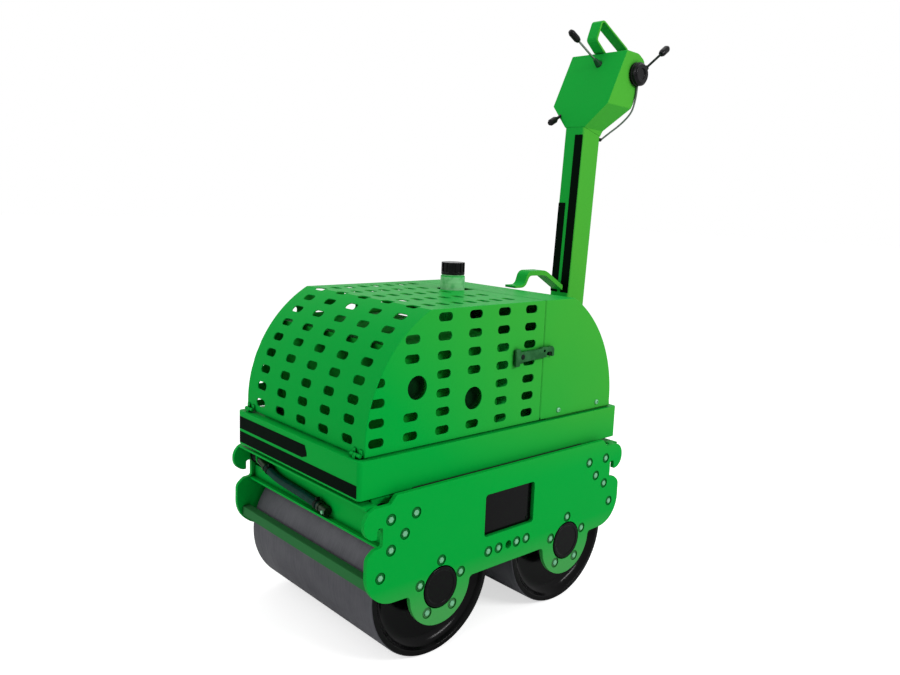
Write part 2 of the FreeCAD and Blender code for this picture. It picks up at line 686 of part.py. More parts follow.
def handle_bracket():
    """Two lugs and the pin behind the deck, on which the handlebar folds."""
    inner, wall = size("lug_inner"), size("lug_wall")
    back, height, end = size("pivot_back"), size("pivot_height"), size("deck_end")
    lug = rounded([(end + 8, 479, 0), (end + 8, 574, 0), (end + 30, 574, 12), (back + 28, height + 24, 26),
                   (back + 28, height + 2, 12), (back + 86, height - 12, 14), (back + 82, height - 40, 14),
                   (end + 40, 479, 14)])
    body = new_body("handle_bracket")
    pad(body, "XZ_Plane", rectangle(-inner - wall - 22, 479, inner + wall + 22, 574, 6), "8",
        "-sizes.deck_end - 8")
    for start in (inner, -inner - wall):
        pad(body, "YZ_Plane", lug, "sizes.lug_wall", str(start))
    pocket(body, "YZ_Plane", circle(back, height, size("pin_radius")), "4 * sizes.lug_inner", "0", True)
    # stop bar under the lowered stem
    pad(body, "YZ_Plane", circle(back + 70, height - 30, 8), "2 * sizes.lug_inner + 2", "0", True)
    register(body)
    pin = new_body("handle_pin")
    length = 2 * (inner + wall + 6)
    pad(pin, "YZ_Plane", circle(back, height, size("pin_radius")), str(length), "0", True)
    for start in (inner + wall, -inner - wall - 5):
        pad(pin, "YZ_Plane", circle(back, height, 17), "5", str(start))
    register(pin)


def stem():
    """Box-section steering stem on a cross bushing, through which the pin passes."""
    half, deep, wall = size("stem_half"), size("stem_deep"), size("stem_wall")
    bore = circle(0, 0, size("pin_radius") + size("fit"))
    body = new_body("steering_stem")
    pad(body, "XY_Plane", rectangle(-half, -deep, half, deep, 7), "930", "0")
    pad(body, "YZ_Plane", circle(0, 0, deep - 1), "2 * sizes.stem_half", "0", True)
    for start in (half - 1, -half - 5.5):
        pad(body, "YZ_Plane", circle(0, 0, 24), "6.5", str(start))
    fall = 21 / (2 * deep)
    slope = rounded([(-deep - 5, 926 + 5 * fall), (deep + 5, 905 - 5 * fall),
                     (deep + 5, 940), (-deep - 5, 940)])
    pocket(body, "YZ_Plane", slope, "4 * sizes.stem_half", "0", True)
    inside = rectangle(wall - half, wall - deep, half - wall, deep - wall, 3)
    pocket(body, "XY_Plane", inside, "870", "940")
    pocket(body, "YZ_Plane", bore, "4 * sizes.stem_half", "0", True)
    register(body, handle_place())


def head():
    """Control head folded from sheet: a wedge in side view that narrows to the stem below."""
    half, deep, stem_half = size("head_half"), size("stem_deep"), size("stem_half")
    side = rounded([(-deep, 926), (-29, 1001), (46, 1180, 6), (108, 1180, 40), (148, 1160, 22),
                    (121, 1074, 90), (104, 1018, 60), (deep, 905)])
    body = new_body("control_head")
    pad(body, "YZ_Plane", side, "2 * sizes.head_half", "0", True)
    for sign in (-1, 1):
        wedge = rounded([(sign * stem_half, 890), (sign * stem_half, 924), (sign * half, 1001),
                         (sign * (half + 20), 1001), (sign * (half + 20), 890)])
        pocket(body, "XZ_Plane", wedge, "600", "0", True)
    # the head is hollow and open to the stem below
    tip = body.Tip
    mouth = min(range(len(tip.Shape.Faces)), key=lambda i: tip.Shape.Faces[i].CenterOfMass.z)
    hollow = body.newObject("PartDesign::Thickness", "control_head_hollow")
    hollow.Base = (tip, [f"Face{mouth + 1}"])
    hollow.setExpression("Value", "sizes.sheet")
    hollow.Reversed = True
    doc.recompute()
    register(body, handle_place())
    return tip.Shape


def grab_loop():
    """Flat steel bar bent to a closed handle over the head."""
    outer = [(58, 1180, 0), (44, 1180, 0), (-3, 1212, 14), (21, 1286, 16), (178, 1213, 16), (152.5, 1152, 0)]
    inner = [(148, 1160.5, 0), (169.5, 1209.5, 10), (25.5, 1277, 10), (6, 1214, 8)]
    bar = new_body("grab_loop")
    pad(bar, "YZ_Plane", rounded(outer + inner), "2 * sizes.loop_half", "0", True)
    register(bar, handle_place())


def travel_lever():
    """Turned hub on the head's left side, with the lever that sets the travel."""
    place, half = handle_place(), size("head_half")
    across, up, radius = size("lever_back"), size("lever_height"), size("lever_hub")
    hub_body = new_body("travel_lever_hub")
    profile = turned([(half, 0), (half, radius), (half + 8, radius), (half + 9, radius - 3),
                      (half + 12, radius - 3), (half + 13, radius), (half + 20, radius - 1),
                      (half + 27, radius - 8), (half + 27, 18), (half + 23, 16), (half + 23, 0)])
    revolve(hub_body, "XZ_Plane", profile, "H_Axis")
    register(hub_body, place.multiply(Placement(Vector(0, across, up), Rotation())))

    tilt = math.radians(38)
    reach = Vector(0, math.cos(tilt), math.sin(tilt))
    start = Vector(half + 13, across, up)
    rod = Part.makeCylinder(4, 102, start + reach * 34, reach)
    eye = Part.makeCylinder(9, 14, start + reach * 30, reach)
    hub_space = Part.makeCylinder(radius + size("fit"), 30, Vector(half, across, up), Vector(1, 0, 0))
    register(feature("travel_lever_rod", rod.fuse(eye).removeSplitter().cut(hub_space)), place)
    register(feature("travel_lever_knob", knob(start + reach * 136, reach, 12, 46)), place)


def front_levers(head_solid):
    """The lever in its rubber boot and the stop knob, trimmed to the head."""
    place = handle_place()
    boot_at = Vector(16, 29, 1140)
    throw = Vector(-0.125, -0.855, 0.503)
    throw.normalize()
    boot = Part.makeCone(15, 6, 34, boot_at - throw * 10, throw).cut(head_solid)
    register(feature("front_lever_boot", boot), place)
    rod = Part.makeCylinder(3.5, 88, boot_at + throw * 24, throw)
    register(feature("front_lever_rod", rod), place)
    register(feature("front_lever_knob", knob(boot_at + throw * 112, throw, 11, 48)), place)

    stalk_at = Vector(-74, -30, 970)
    pull = Vector(-0.06, -0.842, -0.537)
    stalk = Part.makeCylinder(5, 30, stalk_at, pull).fuse(knob(stalk_at + pull * 28, pull, 11, 36))
    register(feature("stop_knob", stalk.cut(head_solid)), place)


def control_cable():
    """Cable from under the travel lever's hub round the head's edge into a gland in the stem."""
    place, deep = handle_place(), size("stem_deep")
    gland_at = Vector(size("stem_half") - 7, deep, 897)
    gland = Part.makeCylinder(6, 12, gland_at, Vector(0, 1, 0))
    register(feature("cable_gland", gland), place)
    route = [(121, 108, 1081), (121, 109, 1052), (121, 104, 1021), (114, 101, 987),
             (79, 96, 951), (48, 76, 920)]
    points = [Vector(*point) for point in route] + [gland_at + Vector(0, 8, 0)]
    hub_disc = Part.makeCylinder(size("lever_hub"), 13, Vector(size("head_half"), size("lever_back"),
                                                             size("lever_height")), Vector(1, 0, 0))
    cable = tube(points, 3).cut(gland).cut(hub_disc)
    register(feature("control_cable", cable), place)


def knob(base, direction, radius, length):
    """Barrel-shaped plastic grip, narrower at both ends."""
    taper = length * 0.2
    low = Part.makeCone(radius * 0.7, radius, taper, base, direction)
    middle = Part.makeCylinder(radius, length - 2 * taper, base + direction * taper, direction)
    high = Part.makeCone(radius, radius * 0.62, taper, base + direction * (length - taper), direction)
    return low.fuse([middle, high]).removeSplitter()


def main():
    for side, along_y in (("front", -size("axle_half")), ("rear", size("axle_half"))):
        drum(f"{side}_drum", along_y)
        for hand, sign in (("left", 1), ("right", -1)):
            hub(f"{side}_hub_{hand}", sign, along_y)
    for hand, sign in (("left", 1), ("right", -1)):
        side_plate(f"side_plate_{hand}", sign)
        window_cover(f"window_cover_{hand}", sign)
    for end, sign in (("front", -1), ("rear", 1)):
        cross_member(f"{end}_cross_member", sign)
        scraper(f"{end}_scraper", sign)
    centre_beam()
    buffers()
    sprinkler_hose()
    deck()
    engine()
    water_tank()
    hood_wrap()
    for hand, sign in (("left", 1), ("right", -1)):
        hood_side(f"hood_side_{hand}", sign)
    rear_cover()
    cover_rails()
    seam_strip()
    hood_hinges()
    hood_latches()
    bar_rest()
    handle_bracket()
    stem()
    head_solid = head()
    grab_loop()
    travel_lever()
    front_levers(head_solid)
    control_cable()
    write_parts()


def write_parts():
    """Checks every object and every node's shape, then writes one STEP file a node."""
    doc.recompute()
    for item in doc.Objects:
        if "Invalid" in item.State or "Error" in item.State:
            raise RuntimeError(f"{item.Label} failed: {item.State}")
    for node in NODES:
        if node.Shape.isNull() or not node.Shape.isValid():
            raise RuntimeError(f"{node.Label} has no valid shape")
    os.makedirs("parts", exist_ok=True)
    for node in NODES:
        node.Shape.exportStep(f"parts/{node.Label}.step")


main()
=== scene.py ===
"""Looks of a walk-behind double-drum roller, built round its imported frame.

Lengths are millimetres wherever a name does not say otherwise, and are turned into metres by `point` and `MM`.
The machine's nose points along -Y, its left side along +X.
"""

import json
import logging
import math
from contextlib import contextmanager
from dataclasses import dataclass, field
from enum import Enum
from itertools import count
from typing import Callable, ClassVar, Iterator, Sequence

import bmesh
import bpy
from mathutils import Matrix, Vector

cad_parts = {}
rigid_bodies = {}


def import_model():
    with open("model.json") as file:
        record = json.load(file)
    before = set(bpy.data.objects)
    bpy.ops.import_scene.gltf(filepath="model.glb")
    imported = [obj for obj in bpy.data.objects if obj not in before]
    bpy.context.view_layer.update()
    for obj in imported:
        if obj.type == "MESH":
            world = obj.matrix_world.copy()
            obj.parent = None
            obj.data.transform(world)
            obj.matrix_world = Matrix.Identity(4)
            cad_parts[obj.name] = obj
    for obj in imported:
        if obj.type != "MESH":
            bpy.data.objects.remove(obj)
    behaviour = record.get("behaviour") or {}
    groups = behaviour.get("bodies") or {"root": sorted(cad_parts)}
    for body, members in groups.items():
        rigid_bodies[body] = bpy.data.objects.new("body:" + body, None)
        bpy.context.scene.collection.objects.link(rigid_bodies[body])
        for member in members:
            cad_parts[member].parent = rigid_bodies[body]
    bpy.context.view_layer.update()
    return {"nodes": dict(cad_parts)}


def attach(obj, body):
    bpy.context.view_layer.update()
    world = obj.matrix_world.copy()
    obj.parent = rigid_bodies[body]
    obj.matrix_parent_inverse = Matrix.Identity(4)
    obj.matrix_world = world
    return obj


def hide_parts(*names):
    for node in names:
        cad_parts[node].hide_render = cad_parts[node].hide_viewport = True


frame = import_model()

LOG = logging.getLogger("roller")
MM = 0.001
HERE = Matrix.Identity(4)

Piece = bpy.types.Object
Element = bmesh.types.BMFace | bmesh.types.BMEdge | bmesh.types.BMVert
Test = Callable[[Element], bool]
Socket = bpy.types.NodeSocket
Inputs = dict[str | int, object]
Spots = Sequence[tuple[float, float]]
Corners = Sequence[tuple[float, ...]]


# ---------------------------------------------------------------- places

class Turn(Enum):
    """Rotation that lays a shape's own Z axis along one of the machine's axes."""

    ALONG_X = Matrix.Rotation(math.radians(90), 4, "Y")
    ALONG_Y = Matrix.Rotation(math.radians(-90), 4, "X")
    ALONG_Z = Matrix.Identity(4)
    TOWARDS_RIGHT = Matrix.Rotation(math.radians(-90), 4, "Y")


def point(x: float, y: float, z: float) -> Vector:
    """A place given in millimetres, in metres."""
    return Vector((x, y, z)) * MM


def standing(x: float, y: float, z: float, turn: Turn = Turn.ALONG_Z) -> Matrix:
    """The matrix that moves a shape to a place and lays its Z axis along one of the machine's axes."""
    return Matrix.Translation(point(x, y, z)) @ turn.value


def aimed(start: Vector, direction: Vector) -> Matrix:
    """The matrix that moves a shape to a place in millimetres and lays its Z axis along a direction."""
    return Matrix.Translation(start * MM) @ direction.to_track_quat("Z", "Y").to_matrix().to_4x4()


class Side(Enum):
    """The machine's two sides, each with the sign of its X."""

    LEFT = 1
    RIGHT = -1

    @property
    def label(self) -> str:
        """The side's word in the names of pieces and nodes."""
        return self.name.lower()

    def outwards(self, x: float, y: float, z: float) -> Matrix:
        """A place at x millimetres on this side, from which Z points away from the machine."""
        return standing(self.value * x, y, z, Turn.ALONG_X if self is Side.LEFT else Turn.TOWARDS_RIGHT)


# ---------------------------------------------------------------- modelling helpers

def clear() -> None:
    """Leave edit mode and deselect everything."""
    if bpy.context.object is not None and bpy.context.object.mode != "OBJECT":
        bpy.ops.object.mode_set(mode="OBJECT")
    bpy.ops.object.select_all(action="DESELECT")


def hold(*pieces: Piece) -> Piece:
    """Select only these pieces and make the first of them the active one.

    Args:
        pieces: What the next operator acts on.

    Returns:
        The first of them.
    """
    clear()
    for piece in pieces:
        piece.select_set(True)
    bpy.context.view_layer.objects.active = pieces[0]
    return pieces[0]


def discard(piece: Piece) -> None:
    """Throw a model or a tool away once it has done its work."""
    hold(piece)
    bpy.ops.object.delete()


@contextmanager
def editing(piece: Piece, mode: str = "FACE") -> Iterator[None]:
    """Edit mode on one piece with nothing selected, left again at the end.

    Args:
        piece: What is edited.
        mode: Whether faces, edges or verts are selected in it.

    Returns:
        The context in which edit operators act on the piece.
    """
    hold(piece)
    bpy.ops.object.mode_set(mode="EDIT")
    bpy.ops.mesh.select_mode(type=mode)
    bpy.ops.mesh.select_all(action="DESELECT")
    yield
    bpy.ops.object.mode_set(mode="OBJECT")


def pick(piece: Piece, kind: str, test: Test) -> None:
    """Select what passes a test on the piece in edit mode.

    Args:
        piece: The piece being edited.
        kind: "faces", "edges" or "verts".
        test: Tells for one of them whether it is selected.
    """
    mesh = bmesh.from_edit_mesh(piece.data)
    for item in getattr(mesh, kind):
        item.select_set(test(item))
    mesh.select_flush_mode()
    bmesh.update_edit_mesh(piece.data)


def is_upright(edge: bmesh.types.BMEdge) -> bool:
    """Whether an edge of a box climbs by more than a millimetre."""
    return abs(edge.verts[0].co.z - edge.verts[1].co.z) > MM


def settle(piece: Piece, place: Matrix) -> Piece:
    """Put the piece at its place and apply that, so that its object stands at the origin.

    Args:
        piece: What is placed.
        place: Where its own origin and axes go.

    Returns:
        The same piece.
    """
    piece.matrix_world = place @ piece.matrix_world
    hold(piece)
    bpy.ops.object.transform_apply(location=True, rotation=True, scale=True)
    return piece


def apply_modifier(piece: Piece, kind: str, **settings: object) -> Piece:
    """Add a modifier with its settings and apply it.

    Args:
        piece: What it works on.
        kind: The modifier's type.
        settings: The modifier's own properties.

    Returns:
        The same piece.
    """
    hold(piece)
    modifier = piece.modifiers.new(kind.title(), kind)
    for key, value in settings.items():
        setattr(modifier, key, value)
    bpy.ops.object.modifier_apply(modifier=modifier.name)
    return piece


def ease(piece: Piece, width: float, segments: int = 2, angle: float = 35) -> Piece:
    """Round the piece's sharp edges, as a file and paint leave them."""
    return apply_modifier(piece, "BEVEL", width=width * MM, segments=segments, limit_method="ANGLE",
                          angle_limit=math.radians(angle), use_clamp_overlap=True)


def cylinder(name: str, radius: float, length: float, place: Matrix, sides: int = 32) -> Piece:
    """A closed cylinder that stands on its place and rises along the place's Z axis.

    Args:
        name: The piece's name.
        radius: The distance from its axis to its corners.
        length: How far it rises.
        place: Where its foot stands.
        sides: How many faces go round it.

    Returns:
        The cylinder.
    """
    clear()
    bpy.ops.mesh.primitive_cylinder_add(vertices=sides, radius=radius * MM, depth=length * MM,
                                        location=(0, 0, length * MM / 2))
    bpy.context.object.name = name
    return settle(bpy.context.object, place)


def block(name: str, low: Vector, high: Vector) -> Piece:
    """A box between two corners.

    Args:
        name: The piece's name.
        low: Its lowest corner on every axis, in millimetres.
        high: Its highest one.

    Returns:
        The box.
    """
    clear()
    bpy.ops.mesh.primitive_cube_add(size=MM, location=(low + high) * MM / 2, scale=high - low)
    bpy.context.object.name = name
    return settle(bpy.context.object, HERE)


def chain(name: str, points: Sequence[Vector]) -> Piece:
    """An open line of edges, drawn by extruding one vertex from point to point.

    Args:
        name: The piece's name.
        points: The line's points in order, in millimetres.

    Returns:
        The line, as verts and edges only.
    """
    clear()
    bpy.ops.mesh.primitive_plane_add(size=MM)
    piece = bpy.context.object
    piece.name = name
    with editing(piece, "VERT"):
        bpy.ops.mesh.select_all(action="SELECT")
        bpy.ops.mesh.merge(type="CENTER")
        bpy.ops.transform.translate(value=points[0] * MM)
        for before, after in zip(points, points[1:]):
            bpy.ops.mesh.extrude_vertices_move(TRANSFORM_OT_translate={"value": (after - before) * MM})
    return piece


def plate(name: str, outline: Sequence[Vector], thickness: Vector) -> Piece:
    """A flat plate: its closed outline filled and extruded by its thickness.

    Args:
        name: The piece's name.
        outline: Corners in order, in millimetres, without the first one again.
        thickness: How far and which way the filled outline is extruded.

    Returns:
        The closed plate.
    """
    piece = chain(name, [*outline, outline[0]])
    with editing(piece, "VERT"):
        bpy.ops.mesh.select_all(action="SELECT")
        bpy.ops.mesh.remove_doubles(threshold=0.001 * MM)
        bpy.ops.mesh.edge_face_add()
        bpy.ops.mesh.extrude_region_move(TRANSFORM_OT_translate={"value": thickness * MM})
        bpy.ops.mesh.select_all(action="SELECT")
        bpy.ops.mesh.normals_make_consistent(inside=False)
    return piece


def turned(name: str, profile: Corners, place: Matrix, steps: int = 64) -> Piece:
    """A turned part: a profile spun a full turn about its Z axis.

    Args:
        name: The piece's name.
        profile: (radius, height) pairs in order; it either closes on itself or starts and ends at radius 0.
        place: Where the part's own origin and axis go.
        steps: How many faces go round it.

    Returns:
        The closed part.
    """
    piece = chain(name, [Vector((radius, 0, height)) for radius, height in profile])
    with editing(piece, "VERT"):
        bpy.ops.mesh.select_all(action="SELECT")
        bpy.ops.mesh.spin(steps=steps, angle=math.tau, center=(0, 0, 0), axis=(0, 0, 1))
        bpy.ops.mesh.select_all(action="SELECT")
        bpy.ops.mesh.remove_doubles(threshold=0.005 * MM)
        bpy.ops.mesh.normals_make_consistent(inside=False)
    return settle(piece, place)


def rounded(corners: Corners, steps: int = 6, closed: bool = True) -> list[tuple[float, float]]:
    """An outline with round corners.

    Args:
        corners: (across, up) or (across, up, radius) for each corner.
        steps: How many edges go round a corner.
        closed: Whether the last corner joins the first.

    Returns:
        The outline's points in order.
    """
    full = [(*corner, 0.0)[:3] for corner in corners]
    points = []
    for i, (across, up, radius) in enumerate(full):
        ends = not closed and i in (0, len(full) - 1)
        if radius <= 0 or ends:
            points.append((across, up))
            continue
        here = Vector((across, up))
        back = (Vector(full[i - 1][:2]) - here).normalized()
        ahead = (Vector(full[(i + 1) % len(full)][:2]) - here).normalized()
        half = back.angle(ahead) / 2
        centre = here + (back + ahead).normalized() * (radius / math.sin(half))
        first = here + back * (radius / math.tan(half)) - centre
        sweep = first.angle_signed(here + ahead * (radius / math.tan(half)) - centre)
        for step in range(steps + 1):
            spoke = first.copy()
            spoke.rotate(Matrix.Rotation(-sweep * step / steps, 2))
            points.append(tuple(centre + spoke))
    return points


def hollow(name: str, corners: Corners, place: Matrix, rounding: int, steps: int) -> Piece:
    """A turned part with an open middle, from a closed section with round corners.

    Args:
        name: The piece's name.
        corners: (radius, height, rounding radius) for each corner of the section.
        place: Where the part's own origin and axis go.
        rounding: How many edges go round a corner.
        steps: How many faces go round it.

    Returns:
        The closed part.
    """
    section = rounded(corners, rounding)
    return turned(name, [*section, section[0]], place, steps)


def spindle(name: str, corners: Corners, place: Matrix, rounding: int, steps: int) -> Piece:
    """A solid turned part, from a profile that runs from axis to axis over round corners.

    Args:
        name: The piece's name.
        corners: (radius, height) or (radius, height, rounding radius) for each corner of the profile.
        place: Where the part's own origin and axis go.
        rounding: How many edges go round a corner.
        steps: How many faces go round it.

    Returns:
        The closed part.
    """
    return turned(name, rounded(corners, rounding, False), place, steps)


def cut(piece: Piece, cutter: Piece) -> Piece:
    """Take the cutter's shape out of the piece and throw the cutter away.

    Args:
        piece: What is cut.
        cutter: The tool, at its place.

    Returns:
        The cut piece.
    """
    apply_modifier(piece, "BOOLEAN", operation="DIFFERENCE", solver="EXACT", object=cutter)
    discard(cutter)
    return piece


def copied(piece: Piece, name: str, place: Matrix) -> Piece:
    """A copy of the piece with its own mesh.

    Args:
        piece: What is copied.
        name: The copy's name.
        place: How the copy is moved.

    Returns:
        The copy.
    """
    hold(piece)
    bpy.ops.object.duplicate()
    bpy.context.object.name = name
    return settle(bpy.context.object, place)


def joined(name: str, pieces: Sequence[Piece]) -> Piece:
    """One piece made of several.

    Args:
        name: The whole piece's name.
        pieces: Its parts, each with its own place and material.

    Returns:
        The whole piece.
    """
    whole = hold(*pieces)
    if len(pieces) > 1:
        bpy.ops.object.join()
    whole.name = name
    whole.data.name = name
    return whole


def repeated(name: str, model: Piece, places: Sequence[Matrix]) -> Piece:
    """Copies of one model at every place as one piece; the model itself is thrown away.

    Args:
        name: The piece's name.
        model: What is copied, standing at the origin.
        places: Where the copies go.

    Returns:
        All copies in one.
    """
    copies = [copied(model, f"{name}_{i}", place) for i, place in enumerate(places)]
    discard(model)
    return joined(name, copies)


def eased_node(node: str, width: float, segments: int) -> Piece:
    """A merged copy of a CAD node with its sharp edges rounded.

    Args:
        node: The CAD node's name.
        width: How far the rounding reaches from each edge.
        segments: Faces across the rounding.

    Returns:
        The copy, on no body yet.
    """
    piece = copied(frame["nodes"][node], f"{node}_eased", HERE)
    hold(piece)
    bpy.ops.object.parent_clear(type="CLEAR_KEEP_TRANSFORM")
    for key in [key for key in piece.keys() if key.startswith("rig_")]:
        del piece[key]
    bpy.ops.mesh.customdata_custom_splitnormals_clear()
    piece.data.materials.clear()
    with editing(piece):
        bpy.ops.mesh.select_all(action="SELECT")
        bpy.ops.mesh.remove_doubles(threshold=0.002 * MM)
        bpy.ops.mesh.dissolve_limited(angle_limit=math.radians(0.2))
    return ease(piece, width, segments)


def hose_along(name: str, route: Sequence[Vector], radius: float, sides: int) -> Piece:
    """A smooth round hose or cable along a NURBS line through its control points.

    Args:
        name: The piece's name.
        route: Control points in millimetres.
        radius: Half the hose's thickness.
        sides: Bevel resolution of the section.

    Returns:
        The hose as a mesh.
    """
    curve = bpy.data.curves.new(name, "CURVE")
    curve.dimensions = "3D"
    curve.bevel_depth = radius * MM
    curve.bevel_resolution = sides
    curve.use_fill_caps = True
    spline = curve.splines.new("NURBS")
    spline.points.add(len(route) - 1)
    for knot, stop in zip(spline.points, route):
        knot.co = (*(stop * MM), 1)
    spline.order_u = 3
    spline.use_endpoint_u = True
    spline.resolution_u = 10
    piece = bpy.data.objects.new(name, curve)
    bpy.context.scene.collection.objects.link(piece)
    hold(piece)
    bpy.ops.object.convert(target="MESH")
    return bpy.context.object


# ---------------------------------------------------------------- finishes

def linear(code: str) -> tuple[float, float, float, float]:
    """The linear colour of an sRGB hex value."""
    channels = [int(code[i:i + 2], 16) / 255 for i in (1, 3, 5)]
    return (*(c / 12.92 if c <= 0.04045 else ((c + 0.055) / 1.055) ** 2.4 for c in channels), 1.0)


def per_metre(size: float) -> float:
    """A texture scale whose features are about this many millimetres across."""
    return 1 / (size * MM)


def feed(tree: bpy.types.NodeTree, node: bpy.types.Node, inputs: Inputs) -> None:
    """Set or link several sockets of a node.

    Args:
        tree: The node's tree.
        node: The node.
        inputs: For a socket's name or number, the value it holds or the output that feeds it.
    """
    for key, value in inputs.items():
        if isinstance(value, Socket):
            tree.links.new(value, node.inputs[key])
        else:
            node.inputs[key].default_value = value


def add(tree: bpy.types.NodeTree, kind: str, inputs: Inputs | None = None, **settings: object) -> bpy.types.Node:
    """Add one node with its settings and links.

    Args:
        tree: The material's or world's node tree.
        kind: The node's type.
        inputs: For a socket's name or number, the value it holds or the output that feeds it.
        settings: The node's own properties.

    Returns:
        The new node.
    """
    made = tree.nodes.new(kind)
    for key, value in settings.items():
        setattr(made, key, value)
    feed(tree, made, inputs or {})
    return made


def sheltered(tree: bpy.types.NodeTree, colour: Socket, deep: str, reach: float) -> Socket:
    """Painted shade and grime that darken the colour where other parts stand close.

    Args:
        tree: The material's node tree.
        colour: The colour in the open.
        deep: The colour of the painted shade in the closest corners, as a hex value.
        reach: How near, in millimetres, other parts have to be.

    Returns:
        The colour between both.
    """
    sky = add(tree, "ShaderNodeAmbientOcclusion", {"Distance": reach * MM}, samples=8)
    bare = add(tree, "ShaderNodeMapRange", {"Value": sky.outputs["AO"], "From Min": 0.25, "From Max": 0.8})
    return add(tree, "ShaderNodeMix", {0: bare.outputs["Result"], 6: linear(deep), 7: colour},
               data_type="RGBA").outputs[2]


class Finish:
    """What every finish shares: it is made into a material once and then handed out."""

    name: str
    made: ClassVar[dict[str, bpy.types.Material]] = {}

    def material(self) -> bpy.types.Material:
        """The finish's material, made at its first use.

        Returns:
            The material with its nodes.
        """
        if self.name not in Finish.made:
            material = bpy.data.materials.new(self.name)
            material.use_nodes = True
            surface = material.node_tree.nodes["Principled BSDF"]
            place = add(material.node_tree, "ShaderNodeTexCoord")
            self.dress(material.node_tree, surface, place)
            Finish.made[self.name] = material
        return Finish.made[self.name]

    def dress(self, tree: bpy.types.NodeTree, surface: bpy.types.Node, place: bpy.types.Node) -> None:
        """Set the shader's sockets and add the finish's own patterns.

        Args:
            tree: The material's node tree.
            surface: Its shader.
            place: Its texture coordinates.
        """
        raise NotImplementedError


PAINT_IOR = 1.5
POLYMER_IOR = 1.5
# Where the painted warm light and the soil reach on this machine, in metres because materials read metres
WARM_LIGHT_BACKWARDS = (0.3, 1.6)
WARM_LIGHT_ABOVE_DECK = (0.42, 0.58)
SPLASHED_BELOW = (0.25, 0.13)


